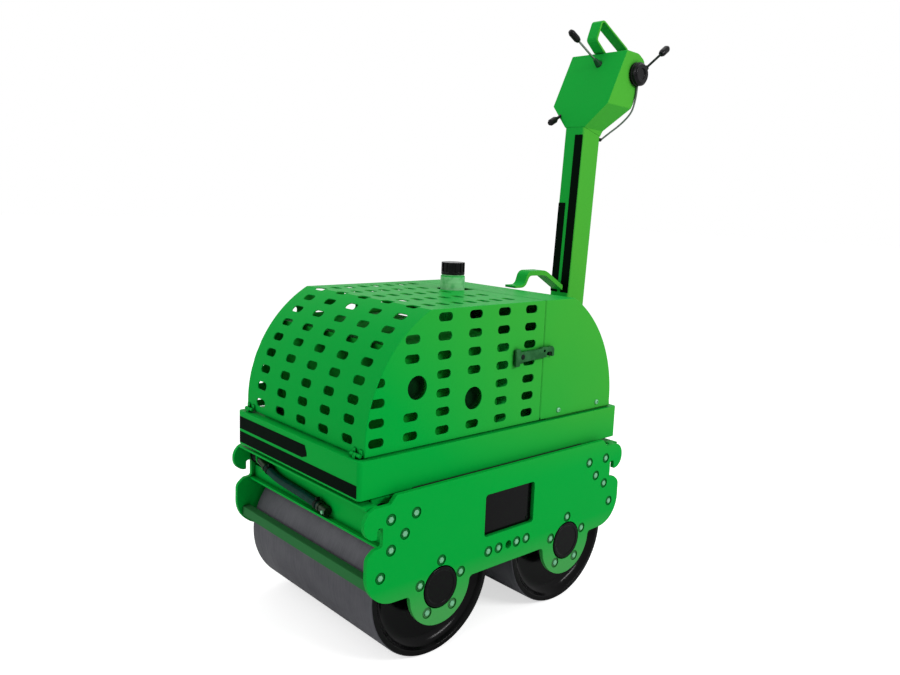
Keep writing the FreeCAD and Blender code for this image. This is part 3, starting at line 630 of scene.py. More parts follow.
@dataclass(frozen=True)
class Enamel(Finish):
    """Baked enamel on sheet steel: even colour, painted warm light, painted shade and grime in corners, orange peel.

    Orange peel is drawn a few millimetres across, coarser than it is, so that it shows.
    """

    name: str
    colour: str
    drifted: str
    deep: str
    dust: str = "#6F8F6A"
    dustiness: float = 0.01
    roughness: float = 0.38
    drift: float = 260.0
    reach: float = 22.0
    peel: float = 5.0
    peel_depth: float = 0.02
    speck: float = 14.0
    specular: float = 0.025
    splash: float = 0.34

    def faded(self, tree: bpy.types.NodeTree, here: Socket, spot: bpy.types.Node, upright: bpy.types.Node) -> Socket:
        """The paint's colour with painted warm light: yellower high up, towards the back and on left-facing faces.

        Args:
            tree: The material's node tree.
            here: The place on the machine.
            spot: The same place split into its axes.
            upright: The surface's direction split into its axes.

        Returns:
            The colour before any dirt.
        """
        # Painted warm light: height, rearwardness and left-facing normals mix in the yellower colour
        far = add(tree, "ShaderNodeMath", {0: spot.outputs["Y"], 1: spot.outputs["Z"]}, operation="ADD")
        warm_light_rearward = add(tree, "ShaderNodeMapRange", {"Value": far.outputs["Value"], "From Min": WARM_LIGHT_BACKWARDS[0],
                                                   "From Max": WARM_LIGHT_BACKWARDS[1]})
        high = add(tree, "ShaderNodeMapRange", {"Value": spot.outputs["Z"], "From Min": WARM_LIGHT_ABOVE_DECK[0],
                                                "From Max": WARM_LIGHT_ABOVE_DECK[1]})
        warm_light_area = add(tree, "ShaderNodeMath", {0: warm_light_rearward.outputs["Result"], 1: high.outputs["Result"]},
                    operation="MULTIPLY")
        side = add(tree, "ShaderNodeMapRange", {"Value": upright.outputs["X"], "To Min": 0.12})
        facing = add(tree, "ShaderNodeMath", {0: warm_light_area.outputs["Value"], 1: side.outputs["Result"]},
                     operation="MULTIPLY")
        drift = add(tree, "ShaderNodeTexNoise", {"Vector": here, "Scale": per_metre(self.drift), "Detail": 2.0})
        cloudy = add(tree, "ShaderNodeMapRange", {"Value": drift.outputs["Fac"], "To Min": 0.8, "To Max": 1.2})
        faded = add(tree, "ShaderNodeMath", {0: facing.outputs["Value"], 1: cloudy.outputs["Result"]},
                    operation="MULTIPLY", use_clamp=True)
        return add(tree, "ShaderNodeMix", {0: faded.outputs["Value"], 6: linear(self.colour),
                                           7: linear(self.drifted)}, data_type="RGBA").outputs[2]

    def soiled(self, tree: bpy.types.NodeTree, spot: bpy.types.Node, upright: bpy.types.Node, speck: Socket) -> Socket:
        """How much of the paint dust and splashes hide.

        Args:
            tree: The material's node tree.
            spot: The place on the machine split into its axes.
            upright: The surface's direction split into its axes.
            speck: The fine cloudy pattern that breaks the dust up.

        Returns:
            The share of dirt.
        """
        level = add(tree, "ShaderNodeMapRange", {"Value": upright.outputs["Z"], "From Min": 0.2, "From Max": 1.0,
                                                 "To Min": 0.25, "To Max": 1.0})
        patchy = add(tree, "ShaderNodeMapRange", {"Value": speck, "From Min": 0.42, "From Max": 0.75,
                                                  "To Max": self.dustiness * 4})
        settled = add(tree, "ShaderNodeMath", {0: level.outputs["Result"], 1: patchy.outputs["Result"]},
                      operation="MULTIPLY")
        splashed = add(tree, "ShaderNodeMapRange", {"Value": spot.outputs["Z"], "From Min": SPLASHED_BELOW[0],
                                                    "From Max": SPLASHED_BELOW[1], "To Max": self.splash})
        return add(tree, "ShaderNodeMath", {0: settled.outputs["Value"], 1: splashed.outputs["Result"]},
                   operation="MAXIMUM").outputs["Value"]

    def dress(self, tree: bpy.types.NodeTree, surface: bpy.types.Node, place: bpy.types.Node) -> None:
        """Painted warm light on the left, painted shade and grime in corners, dust low and on level faces, varied
        sheen, peel.

        Args:
            tree: The material's node tree.
            surface: Its shader.
            place: Its texture coordinates.
        """
        here = place.outputs["Object"]
        spot = add(tree, "ShaderNodeSeparateXYZ", {"Vector": here})
        upright = add(tree, "ShaderNodeSeparateXYZ", {"Vector": place.outputs["Normal"]})
        paint = self.faded(tree, here, spot, upright)
        speck = add(tree, "ShaderNodeTexNoise", {"Vector": here, "Scale": per_metre(self.speck),
                                                 "Detail": 6.0, "Roughness": 0.7}).outputs["Fac"]
        dirt = self.soiled(tree, spot, upright, speck)
        dusty = add(tree, "ShaderNodeMix", {0: dirt, 6: paint, 7: linear(self.dust)}, data_type="RGBA")
        sheen = add(tree, "ShaderNodeMapRange", {"Value": speck, "From Min": 0.3, "From Max": 0.7,
                                                 "To Min": self.roughness - 0.05, "To Max": self.roughness + 0.08})
        peel = add(tree, "ShaderNodeTexNoise", {"Vector": here, "Scale": per_metre(self.peel), "Detail": 1.0})
        bump = add(tree, "ShaderNodeBump", {"Height": peel.outputs["Fac"], "Strength": 0.35,
                                            "Distance": self.peel_depth * MM})
        # The base colour carries painted shade and grime where other parts stand close
        feed(tree, surface, {"Base Color": sheltered(tree, dusty.outputs[2], self.deep, self.reach),
                             "Roughness": sheen.outputs["Result"], "Normal": bump.outputs["Normal"],
                             "IOR": PAINT_IOR, "Specular IOR Level": self.specular})


@dataclass(frozen=True)
class Polymer(Finish):
    """Moulded rubber or plastic: matt to satin skin with a fine spark-eroded grain.

    The grain is drawn about a millimetre across, coarser than it is, so that it shows.
    """

    name: str
    colour: str
    worn: str
    roughness: float = 0.5
    grain: float = 0.9
    grain_depth: float = 0.05
    patch: float = 30.0
    deep: str = "#020302"
    reach: float = 15.0
    specular: float = 0.12

    def dress(self, tree: bpy.types.NodeTree, surface: bpy.types.Node, place: bpy.types.Node) -> None:
        """Patches rubbed paler by hands and weather over an even mould grain.

        Args:
            tree: The material's node tree.
            surface: Its shader.
            place: Its texture coordinates.
        """
        here = place.outputs["Object"]
        patch = add(tree, "ShaderNodeTexNoise", {"Vector": here, "Scale": per_metre(self.patch), "Detail": 4.0})
        rubbed = add(tree, "ShaderNodeMapRange", {"Value": patch.outputs["Fac"], "From Min": 0.45, "From Max": 0.7})
        skin = add(tree, "ShaderNodeMix", {0: rubbed.outputs["Result"], 6: linear(self.colour),
                                           7: linear(self.worn)}, data_type="RGBA")
        sheen = add(tree, "ShaderNodeMapRange", {"Value": patch.outputs["Fac"], "From Min": 0.3, "From Max": 0.7,
                                                 "To Min": self.roughness - 0.06, "To Max": self.roughness + 0.08})
        grain = add(tree, "ShaderNodeTexNoise", {"Vector": here, "Scale": per_metre(self.grain), "Detail": 2.0})
        bump = add(tree, "ShaderNodeBump", {"Height": grain.outputs["Fac"], "Strength": 0.4,
                                            "Distance": self.grain_depth * MM})
        # The base colour carries painted shade and grime where other parts stand close
        feed(tree, surface, {"Base Color": sheltered(tree, skin.outputs[2], self.deep, self.reach),
                             "Roughness": sheen.outputs["Result"], "Normal": bump.outputs["Normal"],
                             "IOR": POLYMER_IOR, "Specular IOR Level": self.specular})


@dataclass(frozen=True)
class BareMetal(Finish):
    """Uncoated or plated metal: tint, tool marks in one direction and stains.

    Tool marks are drawn millimetres apart, coarser than they are, so that they show.
    """

    name: str
    colour: str
    stained: str
    metallic: float = 1.0
    roughness: float = 0.35
    spread: float = 0.12
    marks: tuple[float, float, float] = (2.0, 2.0, 2.0)
    stain: float = 60.0
    mark_depth: float = 0.03
    specular: float = 0.4

    def dress(self, tree: bpy.types.NodeTree, surface: bpy.types.Node, place: bpy.types.Node) -> None:
        """Stains in clouds, and tool marks as noise drawn out along the direction of work.

        Args:
            tree: The material's node tree.
            surface: Its shader.
            place: Its texture coordinates.
        """
        here = place.outputs["Object"]
        drawn = add(tree, "ShaderNodeMapping", {"Vector": here, "Scale": [per_metre(size) for size in self.marks]})
        marks = add(tree, "ShaderNodeTexNoise", {"Vector": drawn.outputs["Vector"], "Scale": 1.0, "Detail": 3.0})
        stain = add(tree, "ShaderNodeTexNoise", {"Vector": here, "Scale": per_metre(self.stain), "Detail": 5.0,
                                                 "Roughness": 0.6})
        both = add(tree, "ShaderNodeMath", {0: marks.outputs["Fac"], 1: stain.outputs["Fac"]}, operation="ADD")
        tone = add(tree, "ShaderNodeMapRange", {"Value": both.outputs["Value"], "From Min": 0.75, "From Max": 1.25})
        metal = add(tree, "ShaderNodeMix", {0: tone.outputs["Result"], 6: linear(self.colour),
                                            7: linear(self.stained)}, data_type="RGBA")
        sheen = add(tree, "ShaderNodeMapRange", {"Value": both.outputs["Value"], "From Min": 0.7, "From Max": 1.3,
                                                 "To Min": self.roughness - self.spread / 2,
                                                 "To Max": self.roughness + self.spread / 2})
        bump = add(tree, "ShaderNodeBump", {"Height": marks.outputs["Fac"], "Strength": 0.5,
                                            "Distance": self.mark_depth * MM})
        feed(tree, surface, {"Base Color": metal.outputs[2], "Roughness": sheen.outputs["Result"],
                             "Normal": bump.outputs["Normal"], "Metallic": self.metallic,
                             "Specular IOR Level": self.specular})


# Machine green: bright, slightly satin, with a yellower green painted in as warm light on high, rear, left-facing faces
GREEN = Enamel("baked_green_enamel", "#009E38", "#48A733", "#00380F")
# The same enamel on the scraper bars, darker and greyer
DARK_GREY_GREEN = Enamel("soiled_green_enamel", "#2C6C3B", "#2C6C3B", "#0B2C16", roughness=0.55)
# Green washers sunk under the bolt heads: the same paint with the shade of their recesses painted in as a darker green
WASHER = Enamel("shaded_green_enamel", "#046B29", "#0A6A22", "#003A12", specular=0.05)
# Black frame enamel on the drum ends and covers: deep, with enough gloss for a soft highlight
BLACK = Enamel("baked_black_enamel", "#040405", "#060607", "#020203", dust="#3A3A3A", roughness=0.16,
               peel_depth=0.003, specular=0.09, splash=0.0)
# Stripe film: near black with a green cast, flatter than the enamel round it
STRIPE = Enamel("matt_stripe_film", "#010D05", "#03140A", "#010602", dust="#1C3020", roughness=0.42,
                peel=2.0, specular=0.012)
# Rolled drum shell: dark grey, rubbed round and round by soil, dull
ROLLED = BareMetal("soil_rubbed_drum_steel", "#4B4B51", "#404046", metallic=0.15, roughness=0.55,
                   marks=(2.0, 60.0, 60.0), stain=70.0)
# Zinc plate on bolts: pale and softly bright, with a green cast that is painted reflection of the paint round them
ZINC = BareMetal("green_passivated_zinc", "#82C79B", "#62AA80", metallic=0.3, roughness=0.38,
                 marks=(1.5, 1.5, 1.5), stain=12.0)
# Ground and polished rod of the front lever: brighter than zinc, almost a mirror
BRIGHT = BareMetal("polished_steel_rod", "#8C968E", "#6C756E", roughness=0.24, marks=(1.0, 1.0, 6.0), stain=20.0)
# Phosphated screws, clamps, small plates and the travel lever's rod: near black and dull
PHOSPHATE = BareMetal("black_phosphated_steel", "#0C1A12", "#07100B", metallic=0.1, roughness=0.5, stain=8.0,
                      specular=0.08)
# Buffers and edge guards: carbon-black rubber, greyed by weather
RUBBER = Polymer("weathered_black_rubber", "#0D0F0F", "#1B1F1E", roughness=0.62, grain=1.4, patch=22.0)
# Air mouths in the hood's shade: the same rubber, coloured dark green as painted shade in the hood's round holes
DUCT = Polymer("misted_duct_rubber", "#03240C", "#04300F", roughness=0.6, grain=1.4, patch=22.0, specular=0.03)
# Lever boot: black rubber with green overspray
BOOT = Polymer("oversprayed_boot_rubber", "#0A2A18", "#0F4A26", grain=1.2, patch=12.0)
# Latch straps: rubber that has greyed and taken on the paint's green
STRAP = Polymer("greyed_strap_rubber", "#155024", "#2C693A", roughness=0.42, grain=1.2, patch=26.0)
# Knobs, grips and caps: glossier moulded plastic
PLASTIC = Polymer("moulded_black_plastic", "#09090B", "#111113", roughness=0.25, grain=0.8, grain_depth=0.02,
                  specular=0.14)
# Water tank: green polyethylene with the hood's shade painted in: darker than the neck, and strong painted shade near
# other parts
TANK = Polymer("shaded_green_polyethylene", "#10B23E", "#16BC46", grain=2.0, patch=120.0, deep="#0A6A1E",
               reach=60.0, specular=0.03)
# Filler neck: the same polyethylene as a lit copy, with daylight painted in as a paler, milky colour
NECK = Polymer("milky_green_polyethylene", "#7CC487", "#55AB67", roughness=0.4, grain=2.0, patch=20.0,
               deep="#0C3A16", reach=20.0, specular=0.15)
# Sprinkler hose: blue-black rubber, with the paint's green reflection painted in as a green cast
HOSE = Polymer("blue_black_hose_rubber", "#053028", "#083C32", roughness=0.42, grain=1.2, specular=0.06)
# Brass fittings of the hose: tarnished nearly to black
BRASS = BareMetal("tarnished_brass", "#22351F", "#101C12", metallic=0.7, roughness=0.42, stain=10.0)
# Cable sheath: grey vinyl, satin
SHEATH = Polymer("grey_vinyl", "#66736A", "#525E55", roughness=0.4, grain=1.0)
# Engine block: sand-cast metal under green paint, pebbled and dull
CAST = Enamel("painted_sand_casting", "#0A9226", "#0C9228", "#034A0E", dust="#23381F", roughness=0.55, peel=2.5,
              peel_depth=0.3, specular=0.03)


# ---------------------------------------------------------------- finishing pieces

def coat(piece: Piece, finish: Finish) -> Piece:
    """Give a loose part its material before it is joined to others.

    Args:
        piece: The part.
        finish: What it is coated with.

    Returns:
        The same part.
    """
    piece.data.materials.clear()
    piece.data.materials.append(finish.material())
    return piece


def deliver(piece: Piece, body: str, slot: str, finish: Finish, *nodes: str, angle: float = 32) -> Piece:
    """Finish a piece: smooth shading, its material, its body and the CAD nodes it stands for.

    Args:
        piece: The piece, with its place in its mesh.
        body: The CAD body it rides on.
        slot: The record's material slot; not used.
        finish: What it is coated with, unless its faces already carry materials.
        nodes: CAD nodes that it stands for.
        angle: The sharpest bend that is still shaded smooth, in degrees.

    Returns:
        The same piece.
    """
    hold(piece)
    bpy.ops.object.shade_smooth_by_angle(angle=math.radians(angle))
    apply_modifier(piece, "WEIGHTED_NORMAL", keep_sharp=True)
    if not any(piece.data.materials):
        coat(piece, finish)
    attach(piece, body)
    if nodes:
        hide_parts(*nodes)
    LOG.info("%s on %s", piece.name, body)
    return piece


def deliver_eased(node: str, body: str, slot: str, finish: Finish, edge: float, segments: int = 2) -> Piece:
    """Finish a CAD node in its own shape with rounded edges.

    Args:
        node: The node, which the eased copy stands for.
        body: The CAD body it rides on.
        slot: The record's material slot.
        finish: What it is coated with.
        edge: How far the rounding reaches from each edge.
        segments: Faces across the rounding.

    Returns:
        The eased copy.
    """
    return deliver(eased_node(node, edge, segments), body, slot, finish, node)


def repaint(node: str, finish: Finish) -> None:
    """Put a finish on a CAD node whose own shape is shown."""
    coat(frame["nodes"][node], finish)
    LOG.info("%s repainted", node)


def stripe(name: str, body: str, outline: Spots, front: float, place: Matrix = HERE) -> Piece:
    """One strip of film on a face that looks forwards.

    Args:
        name: The piece's name.
        body: The CAD body it rides on.
        outline: (x, z) of its corners.
        front: The y of the face that it sticks to.
        place: Where the face's own frame stands.

    Returns:
        The strip.
    """
    thickness = 0.5
    film = plate(name, [Vector((x, front, z)) for x, z in outline], Vector((0, -thickness, 0)))
    return deliver(settle(film, place), body, "black_paint", STRIPE)


# ---------------------------------------------------------------- fasteners

class Head(Enum):
    """The heads that this machine's fasteners have."""

    HEXAGON = "hexagon bolt on a dark washer"
    BUTTON = "round button screw"
    RIVET = "low round rivet"


@dataclass
class Fastener:
    """A bolt, screw or rivet, modelled once and copied to its places."""

    head: Head
    washer: float = 12.6
    washer_height: float = 1.4
    radius: float = 8.2
    height: float = 3.0
    dome_angles: Sequence[float] = (0, 22, 45, 66)

    def model(self) -> Piece:
        """The fastener at the origin, with its head along +Z."""
        return self.hexagon() if self.head is Head.HEXAGON else self.dome()

    def hexagon(self) -> Piece:
        """The hexagon head with its dimple, on a washer.

        Returns:
            The bolt's visible end.
        """
        washer = turned("washer", [(0, 0), (self.washer, 0), (self.washer, self.washer_height - 0.6),
                                   (self.washer - 0.8, self.washer_height), (0, self.washer_height)], HERE, steps=28)
        head = cylinder("head", self.radius, self.height, standing(0, 0, self.washer_height - 0.2), sides=6)
        ease(head, 0.7, angle=60)
        dimple = turned("dimple", [(0, 0), (self.radius * 0.72, 0), (self.radius * 0.66, 0.9), (0, 0.9)],
                        standing(0, 0, self.washer_height + self.height - 0.4), steps=20)
        # The washer's darker green is painted shade of the recess it sits in
        return joined("bolt", [coat(head, ZINC), coat(washer, WASHER), coat(dimple, ZINC)])

    def dome(self) -> Piece:
        """The round head, with a hexagon socket if it is a screw's.

        Returns:
            The screw's or rivet's visible end.
        """
        flat = 0.45 if self.head is Head.BUTTON else 0.25
        rise = [(self.radius * math.cos(t), self.height * (flat + (1 - flat) * math.sin(t)))
                for t in map(math.radians, self.dome_angles)]
        dome = turned("dome", [(0, 0), (self.radius, 0), *rise, (0, self.height)], HERE, steps=24)
        if self.head is Head.BUTTON:
            cut(dome, cylinder("socket", self.radius * 0.5, self.height, standing(0, 0, self.height * 0.55), sides=6))
        return coat(dome, ZINC)

    def row(self, name: str, places: Sequence[Matrix]) -> Piece:
        """The fastener copied to all its places as one piece."""
        return repeated(name, self.model(), places)


# ---------------------------------------------------------------- drums

@dataclass
class Drum:
    """One steel drum: the rolled shell and its two dished, black ends."""

    name: str
    along_y: float
    radius: float = 200.0
    half: float = 300.0
    wall: float = 12.0
    lip: float = 1.4
    edge: float = 2.5
    dish: float = 26.0
    dish_fillet: float = 36.0
    disc: float = 10.0
    boss: float = 52.0
    boss_rise: float = 11.0
    bore: float = 31.0
    bore_depth: float = 34.0

    @property
    def rim(self) -> float:
        """The radius inside the shell."""
        return self.radius - self.wall

    @property
    def reach(self) -> float:
        """How far the shell reaches from the drum's middle."""
        return self.half - self.lip

    def build(self) -> None:
        """Build the shell and the ends and lay them on the drum's axle."""
        place = standing(0, self.along_y, self.radius, Turn.ALONG_X)
        section = [(self.radius, -self.reach, self.edge), (self.radius, self.reach, self.edge),
                   (self.rim, self.reach, 1), (self.rim, -self.reach, 1)]
        shell = hollow(f"{self.name}_rolled_shell", section, place, rounding=4, steps=144)
        deliver(shell, self.name, "drum_steel", ROLLED, f"{self.name}_shell")
        end = hollow("end", self.end_section(), HERE, rounding=7, steps=128)
        other = copied(end, "other_end", Matrix.Rotation(math.pi, 4, "X"))
        both = settle(joined(f"{self.name}_dished_ends", [end, other]), place)
        deliver(both, self.name, "black_paint", BLACK, f"{self.name}_ends")

    def end_section(self) -> Corners:
        """The section of one end: the dish from the rim to the boss, the bore, and the disc's back.

        Returns:
            (radius, distance from the drum's middle, rounding radius) for each corner.
        """
        face = self.half - self.dish
        boss_face, back, foot = face + self.boss_rise, face - self.disc, face - self.bore_depth
        return [(self.rim, self.reach, 0), (self.radius - 2, self.reach, 0), (self.radius - 2, self.half, 0.8),
                (self.rim - 3, self.half, 3), (self.rim - 19, face, self.dish_fillet), (self.boss + 22, face, 10),
                (self.boss + 8, boss_face, 5), (self.bore + 1, boss_face, 1), (self.bore, boss_face - 2, 0),
                (self.bore, foot, 0), (self.boss, foot, 0), (self.boss, back, 3), (self.rim - 38, back, 12),
                (self.rim - 6, self.half - 26, 6), (self.rim, self.half - 20, 0)]


# ---------------------------------------------------------------- undercarriage

@dataclass
class Undercarriage:
    """Side plates, what is bolted between them, and their fasteners."""

    face: float = 330.0
    inner: float = 318.0
    axle: float = 250.0
    drum_radius: float = 200.0
    hub_circle: float = 74.0
    hub_bolts: int = 5
    plate_bolts: Spots = ((340, 425), (420, 425), (375, 378), (418, 345), (449, 280.5))
    centre_row: Sequence[float] = (-79, -39, 32.5, 72)
    row_height: float = 252.0
    recess_radius: float = 15.4
    recess_depth: float = 3.4
    hub_recess: float = 58.2
    hub_depth: float = 9.0
    window_screws: Spots = ((-82, 404), (82, 309))
    scraper_face: float = 474.0
    scraper_low: float = 243.2
    scraper_top: float = 271.0
    scraper_leg: float = 23.8
    scraper_sheet: float = 4.0
    scraper_strip: float = 4.6
    scraper_gap: float = 0.2

    def build(self) -> None:
        """Build and dress every piece of the undercarriage."""
        for side in Side:
            self.side_plate(side)
        for end in ("front", "rear"):
            deliver_eased(f"{end}_cross_member", "root", "green_paint", GREEN, edge=1.2)
            deliver(self.scraper(end), "root", "green_paint", DARK_GREY_GREEN, f"{end}_scraper")
        deliver_eased("centre_beam", "root", "green_paint", GREEN, edge=1.0, segments=1)
        deliver_eased("side_buffers", "root", "rubber", RUBBER, edge=3.0, segments=3)
        deliver_eased("buffer_plates", "root", "zinc_steel", PHOSPHATE, edge=0.7, segments=1)

    def side_plate(self, side: Side) -> None:
        """Build one side plate with its window's cover, bolts and hub caps.

        Args:
            side: The plate's side.
        """
        slab = cut(eased_node(f"side_plate_{side.label}", 1.6, 2), self.bolt_tools(side))
        cut(slab, self.hub_tools(side))
        deliver(slab, "root", "green_paint", GREEN, f"side_plate_{side.label}")
        deliver_eased(f"window_cover_{side.label}", "root", "black_paint", BLACK, edge=0.8, segments=1)
        screws = Fastener(Head.BUTTON, radius=4.5, height=2.6).row(
            f"window_screws_{side.label}", [side.outwards(self.inner, y, z) for y, z in self.window_screws])
        deliver(coat(screws, PHOSPHATE), "root", "zinc_steel", PHOSPHATE)
        bolts = Fastener(Head.HEXAGON).row(f"plate_bolts_{side.label}", self.bolt_places(side))
        deliver(bolts, "root", "zinc_steel", ZINC)
        for end in ("front", "rear"):
            deliver_eased(f"{end}_hub_{side.label}", "root", "black_paint", BLACK, edge=0.7, segments=1)

    def bolt_places(self, side: Side) -> list[Matrix]:
        """Where the hexagon bolts of one side plate stand, on the floors of their counterbores.

        Args:
            side: The plate's side.

        Returns:
            A place for each bolt.
        """
        spots = [(end * y, z) for end in (-1, 1) for y, z in self.plate_bolts]
        spots += [(y, self.row_height) for y in self.centre_row]
        for hub in (-self.axle, self.axle):
            for i in range(self.hub_bolts):
                angle = math.radians(90 + 360 / self.hub_bolts * i)
                spots.append((hub + self.hub_circle * math.cos(angle),
                              self.drum_radius + self.hub_circle * math.sin(angle)))
        return [side.outwards(self.face - self.recess_depth, y, z) for y, z in spots]

    def bolt_tools(self, side: Side) -> Piece:
        """The milling tool over every bolt of one side plate."""
        tool = cylinder("milling_tool", self.recess_radius, self.recess_depth * 3, HERE)
        return repeated("bolt_tools", tool, self.bolt_places(side))

    def hub_tools(self, side: Side) -> Piece:
        """The milling tools round both hub caps of one side plate.

        Args:
            side: The plate's side.

        Returns:
            Both tools in one.
        """
        tool = cylinder("milling_tool", self.hub_recess, self.hub_depth * 2, HERE, sides=72)
        return repeated("hub_tools", tool, [side.outwards(self.face - self.hub_depth, y, self.drum_radius)
                                            for y in (-self.axle, self.axle)])

    def scraper(self, end: str) -> Piece:
        """The angle bar with its wear strip over one drum's outer face.

        Args:
            end: "front" or "rear".

        Returns:
            The bar.
        """
        outward = -1 if end == "front" else 1
        face, low, top, half = self.scraper_face, self.scraper_low, self.scraper_top, self.inner - self.scraper_gap
        back, under, strip = face - self.scraper_leg, top - self.scraper_sheet, face - self.scraper_strip
        section = [(face, low, 0), (face, top, 3), (back, top, 0), (back, under, 0), (strip, under, 2),
                   (strip, low, 0)]
        outline = [Vector((-half, outward * y, z)) for y, z in rounded(section, 4)]
        return ease(plate(f"{end}_scraper_bar", outline, Vector((2 * half, 0, 0))), 0.6, angle=50)


@dataclass
class Sprinkler:
    """Water hose along the front cross-member, clamped on its two fittings."""

    along_y: float = -447.0
    radius: float = 12.0
    route: Spots = ((-222, 412), (-176, 395), (-60, 391), (16, 386), (56, 381))
    clamp: float = 13.8
    clamp_half: float = 5.0
    clamp_from_end: float = 12.0
    grip: float = 0.3
    screw_radius: float = 4.0
    screw_length: float = 12.0
    screw_out: float = 17.0
    plug: tuple[float, float, float] = (88.0, -463.0, 377.0)
    plug_radius: float = 5.5
    plug_length: float = 5.0

    def build(self) -> None:
        """Build the hose, its clamps and the fittings."""
        stops = [Vector((x, self.along_y, z)) for x, z in self.route]
        deliver(hose_along("water_hose", stops, self.radius, sides=6), "root", "rubber", HOSE, "sprinkler_hose")
        ends = [(stops[0], stops[1] - stops[0]), (stops[-1], stops[-2] - stops[-1])]
        clamps = [self.band(end, inward.normalized()) for end, inward in ends]
        deliver(joined("hose_clamps", clamps), "root", "zinc_steel", PHOSPHATE)
        deliver_eased("hose_elbow", "root", "brass_fitting", BRASS, edge=0.8, segments=1)
        plug = cylinder("elbow_plug", self.plug_radius, self.plug_length, standing(*self.plug, Turn.ALONG_Y), sides=6)
        deliver(ease(plug, 0.7, angle=50), "root", "zinc_steel", ZINC)

    def band(self, end: Vector, inward: Vector) -> Piece:
        """A worm clamp round the hose near one of its ends.

        Args:
            end: The hose's end.
            inward: The direction from there along the hose.

        Returns:
            The band with its screw housing.
        """
        place = aimed(end + inward * self.clamp_from_end, inward)
        inside, half = self.radius - self.grip, self.clamp_half
        section = [(inside, -half, 0), (self.clamp, -half, 0.6), (self.clamp, half, 0.6), (inside, half, 0)]
        ring = hollow("band", section, place, rounding=2, steps=32)
        screw = place @ standing(0, self.screw_out, 0, Turn.ALONG_X) @ standing(0, 0, -self.screw_length / 2)
        housing = cylinder("housing", self.screw_radius, self.screw_length, screw, sides=16)
        return joined("clamp", [ring, ease(housing, 0.8)])


# ---------------------------------------------------------------- deck

@dataclass
class Deck:
    """The bent belt that carries the casing, with the stripes on its front."""

    front: float = -497.0
    upper_stripe: Spots = ((-290, 523), (46, 523), (69, 531), (69, 540), (60, 559), (-290, 559))
    lower_stripe: Spots = ((-290, 482.5), (290, 482.5), (290, 515), (-290, 515))
    guard: Corners = ((293, 480, 1), (293, 471, 2), (302, 471, 2), (302, 480, 1))
    guard_half: float = 330.0

    def build(self) -> None:
        """Build the belt, the edge guards and the stripes."""
        deliver_eased("deck", "root", "green_paint", GREEN, edge=1.6, segments=3)
        self.edge_guards()
        stripe("front_stripe_upper", "root", self.upper_stripe, self.front)
        stripe("front_stripe_lower", "root", self.lower_stripe, self.front)

    def edge_guards(self) -> None:
        """Rubber profiles clipped over the belt's lower edges between the side plates."""
        guards = []
        for side in (Side.RIGHT, Side.LEFT):
            outline = [Vector((side.value * x, -self.guard_half, z)) for x, z in rounded(self.guard, 3)]
            guards.append(plate("guard", outline, Vector((0, 2 * self.guard_half, 0))))
        deliver(joined("edge_guards", guards), "root", "rubber", RUBBER)


# ---------------------------------------------------------------- engine

AIR_PORTS: Spots = ((-315, 733), (-120, 680.5))


@dataclass
class Engine:
    """The engine's plain block with the dark air mouths behind the hood's round holes."""

    face: float = 258.0
    radius: float = 36.0
    reach: float = 14.0
    lip: float = 5.0
    floor: float = 3.0

    def build(self) -> None:
        """Paint the block and set the mouths on both of its sides."""
        repaint("engine", CAST)
        section = [(0, 0), (self.radius, 0), (self.radius, self.reach, 3), (self.radius - self.lip, self.reach, 2),
                   (self.radius - 8, self.floor, 2), (0, self.floor)]
        mouth = spindle("air_mouth", section, HERE, rounding=3, steps=48)
        places = [side.outwards(self.face, y, z) for side in Side for y, z in AIR_PORTS]
        # The mouths' dark green is painted shade of the hood's round holes
        deliver(repeated("air_mouths", mouth, places), "root", "rubber", DUCT)


# ---------------------------------------------------------------- hood and rear cover

